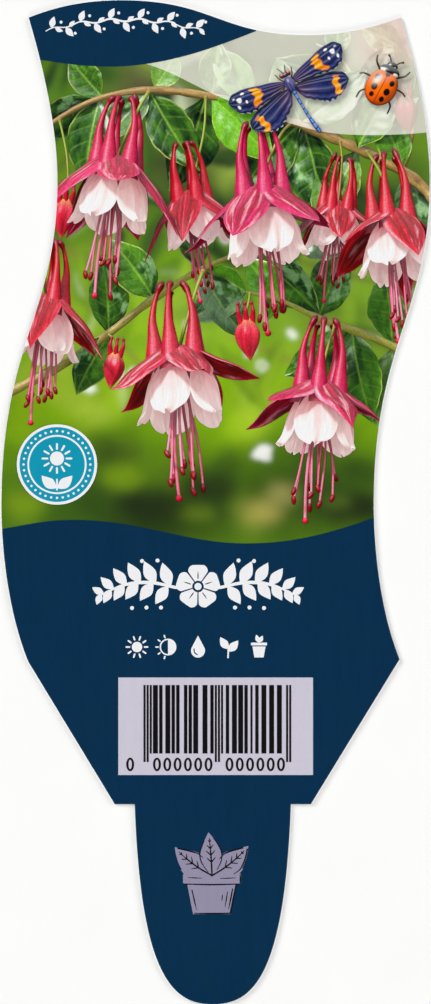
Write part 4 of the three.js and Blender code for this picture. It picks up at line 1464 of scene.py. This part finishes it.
# the ground itself, a fine grid in two pieces
step = 2.0
xs, ys = np.arange(-2, 434, step), np.arange(-552, -2, step)
mx, my = np.meshgrid(xs, ys, indexing="ij")
gco = np.stack([mx.ravel(), my.ravel(), np.full(mx.size, TOP + INK)], 1)
gtri = grid_triangles(len(xs), len(ys))
gco, gtri, gatt = trim(gco, gtri, np.zeros((len(gco), 0)))
q = gco[gtri][:, :, :2]
area = (q[:, 1, 0] - q[:, 0, 0]) * (q[:, 2, 1] - q[:, 0, 1]) - (q[:, 1, 1] - q[:, 0, 1]) * (q[:, 2, 0] - q[:, 0, 0])
gtri = np.where(area[:, None] < 0, gtri[:, ::-1], gtri)
below, above = split(gco, gtri, gatt)
emit("picture_ground", [("ground", below[0], below[1], deepen(tone_map(ground_at(below[0][:, 0], -below[0][:, 1]))) * shadow_at(below[0]), below[0][:, :2])])
emit("pale_band", [("washed", above[0], above[1], washed(tone_map(ground_at(above[0][:, 0], -above[0][:, 1])), above[0]) * shadow_at(above[0]), above[0][:, :2])])

# ------------------------------------------------------------------ flat graphics in white and spot inks
def circle(x, y, r, n=48, r2=None):
    a = np.linspace(0, 2 * np.pi, n, endpoint=False)
    return np.stack([x + r * np.cos(a), -y + (r2 or r) * np.sin(a)], 1)


def stroke(points, width, ends=(1.0, 1.0), n=None):
    """A line of the given width in units, tapering to the shares in ends; points with y down."""
    p = np.array(points, float) * [1, -1]
    length = np.linalg.norm(np.diff(p, axis=0), axis=1).sum()
    c = spline(p, n or max(6, int(length / 1.6))) if len(p) > 2 else np.linspace(p[0], p[1], 6)
    t = np.gradient(c, axis=0)
    t /= np.linalg.norm(t, axis=1)[:, None]
    nrm = np.stack([-t[:, 1], t[:, 0]], 1)
    s = np.linspace(0, 1, len(c))
    w = width / 2 * np.where(s < 0.5, ends[0] + (1 - ends[0]) * smooth(0, 0.5, s), ends[1] + (1 - ends[1]) * smooth(0, 0.5, 1 - s))
    caps = []
    for k, sgn in ((-1, 1), (0, -1)):
        a0 = math.atan2(nrm[k, 1], nrm[k, 0])
        a = np.linspace(a0, a0 - math.pi, 7)[1:-1] if k == -1 else np.linspace(a0 + math.pi, a0, 7)[1:-1]
        caps.append(c[k] + w[k] * np.stack([np.cos(a), np.sin(a)], 1))
    return np.vstack([c + nrm * w[:, None], caps[0], (c - nrm * w[:, None])[::-1], caps[1]])


def blade2d(x, y, angle, length, width, bend=0.0, belly=0.42, n=22):
    """A pointed leaf outline; angle in degrees, anticlockwise from the right."""
    s = np.linspace(0, 1, n)
    a = np.radians(angle + bend * (s - 0.2))
    step_ = length / (n - 1)
    c = np.array([x, -y]) + np.vstack([[0, 0], np.cumsum(np.stack([np.cos(a), np.sin(a)], 1)[:-1] * step_, 0)])
    nrm = np.stack([-np.sin(a), np.cos(a)], 1)
    w = width / 2 * along(s, (0, 0.0), (0.12, 0.42), (belly, 1.0), (0.75, 0.62), (1, 0.0))
    up, dn = c + nrm * w[:, None], c - nrm * w[:, None]
    return np.vstack([up, dn[1:-1][::-1]])


def box2d(x0, y0, x1, y1, r=0.0):
    if r <= 0:
        return np.array([(x0, -y1), (x1, -y1), (x1, -y0), (x0, -y0)])
    out = []
    for cx, cy, a0 in ((x1 - r, y0 + r, 0), (x0 + r, y0 + r, 90), (x0 + r, y1 - r, 180), (x1 - r, y1 - r, 270)):
        a = np.radians(np.linspace(a0, a0 + 90, 6))
        out.append(np.stack([cx + r * np.cos(a), -cy + r * np.sin(a)], 1))
    return np.vstack(out)


def union(shapes, cut=()):
    """Triangles over every shape, each a list of loops filled by even-odd, less the shapes in cut."""
    pts, edges = [], []
    for sh in list(shapes) + list(cut):
        for lp in sh:
            k = len(pts)
            pts += [Vector(p[:2]) for p in lp]
            edges += [(k + i, k + (i + 1) % len(lp)) for i in range(len(lp))]
    co, _, faces, _, _, _ = mgeo.delaunay_2d_cdt(pts, edges, [], 0, 1e-5)
    co = np.array([tuple(p) for p in co])
    tri = np.array([f for f in faces if len(f) == 3], int)
    mid = co[tri].mean(1)
    keep = np.zeros(len(tri), bool)
    for sh in shapes:
        keep |= inside(mid, sh)
    for sh in cut:
        keep &= ~inside(mid, sh)
    tri = tri[keep]
    a, b, c = co[tri[:, 0]], co[tri[:, 1]], co[tri[:, 2]]
    area = (b[:, 0] - a[:, 0]) * (c[:, 1] - a[:, 1]) - (b[:, 1] - a[:, 1]) * (c[:, 0] - a[:, 0])
    tri[area < 0] = tri[area < 0][:, ::-1]
    return compact(co, tri[np.abs(area) > 1e-9])


FIELD_TOP = TOP + INK * 12


def print_flat(name, shapes, mat, layer=0, cut=(), base=None):
    base = FIELD_TOP if base is None else base
    co, tri = union(shapes, cut)
    return add_piece(name, *prism(co, tri, base + layer * INK * 2 - INK, base + (layer + 1) * INK * 2), [mat])


# a sprig with a flower in its middle, the same on both sides
MID = 198.0


def petal2d(x, y, angle, inner, length, width):
    """A rounded petal from inner to inner + length off (x, y)."""
    s_ = np.linspace(0, 1, 26)
    w = width / 2 * np.where(s_ < 0.62, 0.34 + 0.66 * np.sin(s_ / 0.62 * np.pi / 2) ** 1.2, np.sqrt(np.clip(1 - ((s_ - 0.62) / 0.38) ** 2, 0, 1)))
    r = inner + length * s_ - 1.4 * np.exp(-((s_ - 1) / 0.05) ** 2)
    a = math.radians(angle)
    t, nrm = np.array([math.cos(a), math.sin(a)]), np.array([-math.sin(a), math.cos(a)])
    up, dn = np.array([x, -y]) + r[:, None] * t + w[:, None] * nrm, np.array([x, -y]) + r[:, None] * t - w[:, None] * nrm
    return np.vstack([up, dn[:-1][::-1]])


sprig = []
for sgn in (-1, 1):
    sprig.append([stroke([(MID + sgn * 22, 587.5), (MID + sgn * 48, 582.5), (MID + sgn * 74, 585), (MID + sgn * 99, 596)], 3.4, (0.9, 0.35))])

    def ang(a):
        return a if sgn > 0 else 180 - a
    for d, y, ln, wd, up_a, dn_a in ((27, 586, 25, 12.5, 66, -50), (42, 583, 25, 12.5, 58, -48), (57, 582.5, 24, 11.8, 53, -48),
                                     (71, 584.5, 21.5, 10.6, 46, -52), (84, 589, 18, 9.2, 38, -56), (94, 593.5, 13.5, 7.2, 24, -62)):
        sprig.append([blade2d(MID + sgn * d, y, ang(up_a), ln, wd, 14 * sgn)])
        sprig.append([blade2d(MID + sgn * (d + 2.5), y + 0.5, ang(dn_a), ln * 0.88, wd * 0.94, -14 * sgn)])
    for d, y in ((37, 607.5), (51.5, 607.5), (66, 608.0), (40.5, 560.5), (56, 561.0)):
        sprig.append([circle(MID + sgn * d, y, 2.0, 18)])
petals2d = [[petal2d(MID, 586.5, 90 + 72 * k, 4.0, 19.0, 19.5)] for k in range(5)]
seams = [[stroke([(MID + 8 * math.cos(math.radians(90 + 72 * k)), 586.5 - 8 * math.sin(math.radians(90 + 72 * k))),
                  (MID + 15 * math.cos(math.radians(90 + 72 * k)), 586.5 - 15 * math.sin(math.radians(90 + 72 * k)))], 1.1, (0.9, 0.3))] for k in range(5)]
seams += [[stroke([(MID + 4 * math.cos(math.radians(54 + 72 * k)), 586.5 - 4 * math.sin(math.radians(54 + 72 * k))),
                   (MID + 21 * math.cos(math.radians(54 + 72 * k)), 586.5 - 21 * math.sin(math.radians(54 + 72 * k)))], 1.3, (0.8, 1.6))] for k in range(5)]
print_flat("title_sprig", sprig + petals2d, m_white, 0, cut=[[circle(MID, 586.5, 5.8, 30)]] + seams)
print_flat("title_flower_eye", [[circle(MID, 586.5, 3.6, 24)]], m_white)

# care signs: sun, half shade, water, feed, pot
icons = []
cy = 647.0


def rays_round(x, y, r1, r2, w, n, start=0.0, end=360.0):
    out = []
    for k in range(n):
        a = math.radians(start + (end - start) * k / n)
        out.append([stroke([(x + r1 * math.cos(a), y - r1 * math.sin(a)), (x + r2 * math.cos(a), y - r2 * math.sin(a))], w)])
    return out


xs_ = [137.0, 168.0, 198.0, 228.0, 259.0]
icons += [[circle(xs_[0], cy, 5.2, 32)]] + rays_round(xs_[0], cy, 7.6, 10.6, 1.7, 10)
icons += [[circle(xs_[1], cy, 8.4, 40), circle(xs_[1], cy, 7.0, 40)]]
half_disc = circle(xs_[1], cy, 7.4, 60)
icons += [[half_disc[half_disc[:, 0] >= xs_[1] - 0.01]]]
icons += rays_round(xs_[1], cy, 9.9, 12.0, 1.5, 5, 108, 288)
drop = [(xs_[2], -(cy - 11.5))]
for k in range(33):
    a = math.radians(32 - k * (244 / 32))
    drop.append((xs_[2] + 7.0 * math.cos(a), -(cy + 3.6) + 7.0 * math.sin(a)))
icons += [[np.array(drop)]]
shine = [[stroke([(xs_[2] - 4.0, cy + 2.0), (xs_[2] - 3.4, cy + 5.6), (xs_[2] - 0.8, cy + 7.6)], 1.2)]]
icons += [[blade2d(xs_[3] + 0.4, cy + 2.0, 128, 14.5, 8.0, -14)], [blade2d(xs_[3] + 0.2, cy + 4.5, 44, 15.0, 8.2, 14)], [stroke([(xs_[3], cy + 10.5), (xs_[3] + 0.3, cy + 3.0), (xs_[3] + 0.2, cy - 2.0)], 1.6)]]
pot = np.array([(xs_[4] - 6.6, -(cy - 0.6)), (xs_[4] + 6.6, -(cy - 0.6)), (xs_[4] + 4.6, -(cy + 10.4)), (xs_[4] - 4.6, -(cy + 10.4))])
icons += [[pot], [box2d(xs_[4] - 8.0, cy - 4.4, xs_[4] + 8.0, cy - 1.6, 0.6)], [blade2d(xs_[4], cy - 4.4, 112, 8.5, 4.6, -10)], [blade2d(xs_[4], cy - 4.4, 60, 8.0, 4.4, 10)]]
print_flat("care_signs", icons, m_white, cut=shine)

# a fine vine along the top of the corner field
arc = spline([(46, -31.0), (78, -23.5), (122, -20.0), (166, -22.5), (204, -31.5)], 220)
wavy = arc + np.stack([0 * arc[:, 0], 1.5 * np.sin(np.linspace(0, 11 * np.pi, 220))], 1)
vine = [[stroke([(x, -y) for x, y in wavy[::6]] + [(wavy[-1, 0], -wavy[-1, 1])], 2.0, (0.5, 0.5), n=150)]]
for k in range(11):
    i = int(8 + k * 20)
    x, y = wavy[i, 0], -wavy[i, 1]
    tilt = math.degrees(math.atan2(wavy[i + 1, 1] - wavy[i - 1, 1], wavy[i + 1, 0] - wavy[i - 1, 0]))
    sgn = 1 if k % 2 == 0 else -1
    vine.append([blade2d(x, y, tilt + sgn * 62, 12.0, 6.4, -18 * sgn)])
    vine.append([blade2d(x + 3.5, y, tilt - sgn * 46, 8.6, 4.4, 16 * sgn)])
    vine.append([circle(x + 9.4, y - sgn * 6.0, 1.5, 16)])
print_flat("corner_vine", vine, m_white)

# the round sign over the picture
SIGN = TOP + INK * 4 + REACH + 0.00001
bx, by = 57.0, 464.5
print_flat("sign_rim", [[circle(bx, by, 40.2, 120)]], m_white, base=SIGN)
print_flat("sign_disc", [[circle(bx, by, 37.4, 120)]], m_teal, 1, base=SIGN)
marks = [[circle(bx, by, 29.6, 96), circle(bx, by, 27.8, 96)]]
marks += [[circle(bx + 33.4 * math.cos(a), by + 33.4 * math.sin(a), 1.25, 14)] for a in np.linspace(0, 2 * np.pi, 36, endpoint=False)]
marks += [[circle(bx, by - 6.0, 7.0, 44)]] + rays_round(bx, by - 6.0, 9.6, 14.4, 2.0, 12)
marks += [[blade2d(bx, by + 23.5, 148, 20, 10.5, -26)], [blade2d(bx, by + 23.5, 32, 20, 10.5, 26)], [stroke([(bx, by + 25.2), (bx, by + 15)], 1.8)]]
print_flat("sign_marks", marks, m_white, 2, base=SIGN)

# the retail panel: bars of no code over a row of ovals
print_flat("retail_panel", [[box2d(118.3, 677.5, 313.0, 775.0)]], m_panel)
b0 = np.random.default_rng(11)
MOD = (291.0 - 143.8) / 95
bars, x = [], 3


def bar(start, width, tall):
    gain = 0.30 if width == 1 else 0.17
    bars.append([box2d(143.8 + start * MOD - gain, 685.0, 143.8 + (start + width) * MOD + gain, 762.0 if tall else 753.5)])


for start in (0, 2, 46, 48, 92, 94):
    bar(start, 1, True)
for lo_, hi_ in ((3, 46), (49, 92)):
    x = lo_ + 1
    while x < hi_ - 1:
        w = int(b0.choice([1, 1, 2, 2, 3, 3]))
        w = min(w, hi_ - 1 - x)
        if w > 0:
            bar(x, w, False)
        x += w + int(b0.choice([1, 1, 1, 2, 2, 3]))
print_flat("retail_bars", bars, m_black, 1)


def oval_ring(x, y, rx, ry, line):
    return [circle(x, y, rx, 40, ry), circle(x, y, rx - line, 40, ry - line * 0.9)]


marks = [oval_ring(130.2, 764.4, 4.0, 6.8, 2.35)]
for lo_ in (157.0, 229.5):
    marks += [oval_ring(lo_ + 10.3 * k, 764.4, 4.0, 6.8, 2.35) for k in range(6)]
print_flat("retail_ovals", marks, m_black, 1)

# a potted seedling on the stake
ex, ey = 212.0, 873.0
pot_side = np.array([(ex - 25, -(ey + 10)), (ex + 25, -(ey + 10)), (ex + 19, -(ey + 41)), (ex - 19, -(ey + 41))])
plant = [[box2d(ex - 29, ey + 0.5, ex + 29, ey + 10.5, 1.5)], [pot_side],
         [blade2d(ex - 1, ey + 2, 148, 46, 24, -20, 0.5)], [blade2d(ex + 1, ey + 2, 34, 46, 24, 20, 0.5)], [blade2d(ex, ey + 3, 93, 44, 22, 6, 0.5)],
         [blade2d(ex - 2, ey + 2, 176, 30, 14, -22, 0.5)], [blade2d(ex + 2, ey + 2, 6, 30, 14, 22, 0.5)]]
print_flat("stake_emblem", plant, m_mauve)
lines = []


def veins2d(x, y, angle, length, width, bend, sides=4):
    s = np.linspace(0, 0.86, 12)
    a = np.radians(angle + bend * (s - 0.2))
    c = np.array([x, -y]) + np.vstack([[0, 0], np.cumsum(np.stack([np.cos(a), np.sin(a)], 1)[:-1] * (length * 0.86 / 11), 0)])
    out = [[stroke([(p[0], -p[1]) for p in c[::3]] + [(c[-1][0], -c[-1][1])], 1.5, (1.0, 0.5))]]
    for k in range(1, sides + 1):
        i = int(2 + 8 * k / sides)
        for sd in (-1, 1):
            b_ = a[i] + sd * math.radians(42)
            l_ = width * 0.30 * math.sin(math.pi * min(0.95, s[i] + 0.12))
            out.append([stroke([(c[i][0], -c[i][1]), (c[i][0] + l_ * math.cos(b_), -(c[i][1] + l_ * math.sin(b_)))], 1.1, (1.0, 0.6))])
    return out


lines += veins2d(ex - 1, ey + 2, 148, 46, 24, -20) + veins2d(ex + 1, ey + 2, 34, 46, 24, 20) + veins2d(ex, ey + 3, 93, 44, 22, 6)
for poly in (blade2d(ex, ey + 3, 93, 44, 22, 6, 0.5),):
    lines.append([stroke([(p[0], -p[1]) for p in poly[2:20:3]], 1.2, (0.6, 0.6))])
    lines.append([stroke([(p[0], -p[1]) for p in poly[24:41:3]], 1.2, (0.6, 0.6))])
# its outline, just inside the shape: the leaves' upper sides and the pot's right side
right_leaf, left_leaf = blade2d(ex + 1, ey + 2, 34, 45, 22.2, 20, 0.5), blade2d(ex - 1, ey + 2, 148, 45, 22.2, -20, 0.5)
lines.append([stroke([(p[0], -p[1]) for p in right_leaf[7:22:3]], 1.6, (0.5, 0.9))])
lines.append([stroke([(p[0], -p[1]) for p in right_leaf[22:35:3]], 1.4, (0.9, 0.5))])
lines.append([stroke([(p[0], -p[1]) for p in left_leaf[22:37:3]], 1.5, (0.9, 0.5))])
lines.append([stroke([(ex + 24.0, ey + 12.0), (ex + 21.2, ey + 26), (ex + 18.4, ey + 40)], 1.6, (0.8, 1.0))])
lines.append([stroke([(ex - 17.6, ey + 40.2), (ex, ey + 40.4), (ex + 18.0, ey + 40.2)], 1.3, (0.6, 0.9))])
lines.append([stroke([(ex + 28.2, ey + 2.0), (ex + 28.3, ey + 6.0), (ex + 28.2, ey + 9.6)], 1.4, (0.7, 0.9))])
lines.append([stroke([(ex - 27, ey + 11.0), (ex, ey + 11.6), (ex + 27, ey + 11.0)], 1.5, (0.7, 0.7))])
lines.append([stroke([(ex - 20, ey + 17), (ex - 17.5, ey + 28), (ex - 15.5, ey + 37)], 1.3, (0.8, 0.4))])
lines.append([stroke([(ex + 20.5, ey + 16), (ex + 18.5, ey + 27), (ex + 16.5, ey + 36)], 1.5, (0.8, 0.4))])
lines.append([stroke([(ex + 15.5, ey + 19), (ex + 14.2, ey + 27), (ex + 13.0, ey + 34)], 1.1, (0.7, 0.4))])
lines.append([stroke([(ex + 10.5, ey + 22), (ex + 9.8, ey + 28)], 1.0, (0.7, 0.4))])
lines.append([stroke([(ex - 24, ey + 4.5), (ex - 10, ey + 5.2)], 1.0, (0.5, 0.5))])
lines.append([stroke([(ex + 8, ey + 5.5), (ex + 24, ey + 4.8)], 1.0, (0.5, 0.5))])
print_flat("stake_emblem_lines", lines, m_black, 1)

# ------------------------------------------------------------------ stage, light and camera
floor = bpy.data.meshes.new("floor")
s = 3.0
floor.from_pydata([(-s, -s, -0.00005), (s, -s, -0.00005), (s, s, -0.00005), (-s, s, -0.00005)], [], [(0, 1, 2, 3)])
fm, nt, b = new_material("pale_floor", 0.85, 0.15)
nt.links.new(ramp(nt, noise(nt, 60.0, 3.0, 0.5), [(0.3, (0.872, 0.872, 0.862, 1)), (0.7, (0.888, 0.888, 0.878, 1))]), b.inputs["Base Color"])
floor.materials.append(fm)
floor_ob = bpy.data.objects.new("floor", floor)
bpy.context.scene.collection.objects.link(floor_ob)


def softbox(name, where, size, power, aim=(0, 0, 0)):
    d = bpy.data.lights.new(name, "AREA")
    d.shape, d.size, d.size_y, d.energy = "RECTANGLE", size[0], size[1], power
    ob = bpy.data.objects.new(name, d)
    ob.location = where
    ob.rotation_mode = "QUATERNION"
    ob.rotation_quaternion = (Vector(aim) - Vector(where)).to_track_quat("-Z", "Y")
    ob.visible_camera = False
    bpy.context.scene.collection.objects.link(ob)
    return ob


softbox("key_light", (-1.25, 0.75, 1.15), (1.0, 1.0), 25.3)
softbox("fill_light", (1.35, 0.35, 1.05), (1.2, 1.2), 17.0)
softbox("front_light", (0.1, -1.45, 1.05), (1.4, 0.8), 13.6)

world = bpy.data.worlds.new("studio")
bpy.context.scene.world = world
world.use_nodes = True
wt = world.node_tree
bg = wt.nodes["Background"]
tc = wt.nodes.new("ShaderNodeTexCoord")
sep = wt.nodes.new("ShaderNodeSeparateXYZ")
wt.links.new(tc.outputs["Generated"], sep.inputs["Vector"])
wr = wt.nodes.new("ShaderNodeValToRGB")
el = wr.color_ramp.elements
el[0].position, el[0].color = 0.0, (0.62, 0.62, 0.62, 1)
el[1].position, el[1].color = 0.9, (0.03, 0.03, 0.03, 1)
e = el.new(0.45)
e.color = (0.30, 0.30, 0.30, 1)
wt.links.new(sep.outputs["Z"], wr.inputs["Fac"])
wt.links.new(wr.outputs["Color"], bg.inputs["Color"])
bg.inputs["Strength"].default_value = 1.0

cam = bpy.data.cameras.new("camera")
cam.type, cam.lens, cam.sensor_width, cam.sensor_fit = "PERSP", 200.0, 36.0, "AUTO"
cam.clip_start, cam.clip_end = 0.01, 50.0
cam_ob = bpy.data.objects.new("camera", cam)
reach = 1004 * K / 36.0 * 200.0
cam_ob.location = ((215.5 - X0) * K, (Y0 - 502.0) * K, TOP + reach)
cam_ob.rotation_euler = (0, 0, 0)
bpy.context.scene.collection.objects.link(cam_ob)
bpy.context.scene.camera = cam_ob

scene = bpy.context.scene
scene.view_settings.view_transform = "Standard"
scene.view_settings.look = "None"
scene.view_settings.exposure = 0.0
scene.view_settings.gamma = 1.0
